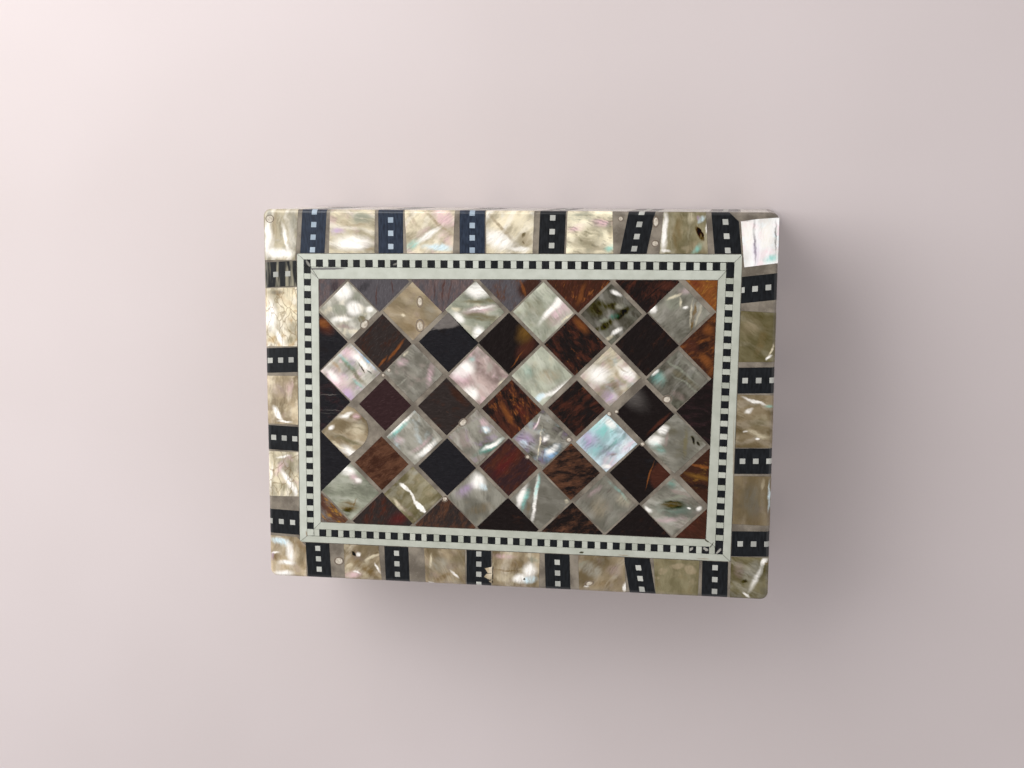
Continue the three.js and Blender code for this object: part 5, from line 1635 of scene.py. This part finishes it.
def splinters(material):
    parts = [tile("splinter", LID, corners, thickness=0.4, cut=1.0) for corners in SPLINTERS]
    placed(joined("shell_splinters", [painted_with(part, material) for part in parts]), "pearl")


def keep_wood(material):
    """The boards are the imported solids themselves, with a wood finish."""
    for node in ("bottom_board", "front_wall", "back_wall", "left_wall", "right_wall", "lid_board"):
        painted_with(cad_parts[node], material)


# The room: a plain pale floor, one large soft light from the upper left, a faint one from the
# opposite side, and a pale sky that is dimmer right above, round the camera.
FLOOR_SIZE = 4000
SKY_BELOW = (0.70, 0.68, 0.68, 1)
SKY_ABOVE = (0.10, 0.096, 0.096, 1)
DIMS_FROM, DIMS_TO = 0.75, 0.95  # the height in a sky that is 1 high


def make_sky():
    world = bpy.data.worlds.new("studio")
    world.use_nodes = True
    nodes, links = world.node_tree.nodes, world.node_tree.links
    way = nodes.new("ShaderNodeTexCoord")
    split = nodes.new("ShaderNodeSeparateXYZ")
    height = nodes.new("ShaderNodeMapRange")
    height.interpolation_type = "SMOOTHSTEP"
    height.inputs["From Min"].default_value = DIMS_FROM
    height.inputs["From Max"].default_value = DIMS_TO
    mix = nodes.new("ShaderNodeMix")
    mix.data_type = "RGBA"
    mix.inputs[6].default_value = SKY_BELOW
    mix.inputs[7].default_value = SKY_ABOVE
    links.new(way.outputs["Generated"], split.inputs["Vector"])
    links.new(split.outputs["Z"], height.inputs["Value"])
    links.new(height.outputs["Result"], mix.inputs[0])
    links.new(mix.outputs[2], nodes["Background"].inputs["Color"])
    bpy.context.scene.world = world


def soft_light(name, place, size, power, colour):
    """A square light that faces the lid."""
    data = bpy.data.lights.new(name, "AREA")
    data.shape = "SQUARE"
    data.size = size * MM
    data.energy = power
    data.color = colour
    light = bpy.data.objects.new(name, data)
    bpy.context.collection.objects.link(light)
    light.location = place * MM
    light.rotation_euler = (LID.origin - place).to_track_quat("-Z", "Y").to_euler()


def make_room():
    bpy.ops.object.select_all(action="DESELECT")
    bpy.ops.mesh.primitive_plane_add(size=FLOOR_SIZE * MM)
    floor = bpy.context.object
    floor.name = "floor"
    painted_with(floor, pale_paper("pale_paper"))
    make_sky()
    soft_light("window", Vector((-350, 245, 380)), size=560, power=3.1, colour=(1.0, 0.985, 0.955))
    soft_light("bounce", Vector((560, -420, 560)), size=800, power=0.4, colour=(0.97, 0.975, 1.0))
    view = bpy.context.scene.view_settings
    view.view_transform = "Standard"
    view.look = "None"


ground_resin = resin("ground_resin")
white_bone = bone("white_bone", marks=WHITE_BONE_MARKS)
# A darker copy of the bone: painted shade on the front and right bandings, where the light falls off.
shaded_bone = bone("shaded_bone", (170, 174, 161), (196, 199, 188), SHADED_BONE_MARKS)
black_ebony = ebony("black_ebony")
keep_wood(wood("oiled_wood"))
pearl_squares()
tortoiseshell_pieces()
lay_border_shells()
grey_bone = bone("grey_bone", (166, 167, 162), (196, 197, 190))
dotted_strips(
    black_ebony, ebony("blue_ebony", (26, 35, 50), (44, 56, 76)), ebony("worn_ebony", wear=0.75),
    grey_bone, bone("pale_blue_bone", (150, 166, 182), (176, 190, 202)),
)
banding(white_bone, shaded_bone, ebony("chequer_ebony", marks=BREAKS))
dress_sides(black_ebony, white_bone, side_shell("side_nacre"))
lid_ground(ground_resin)
for wall in SIDES:
    wall_ground(wall, ground_resin)
bubbles(bubble_resin("bubble_resin"))
splinters(nacre("splinter_nacre", seed=3, body="buff", tone=1.2, tints=("cream", "rose")))
make_room()
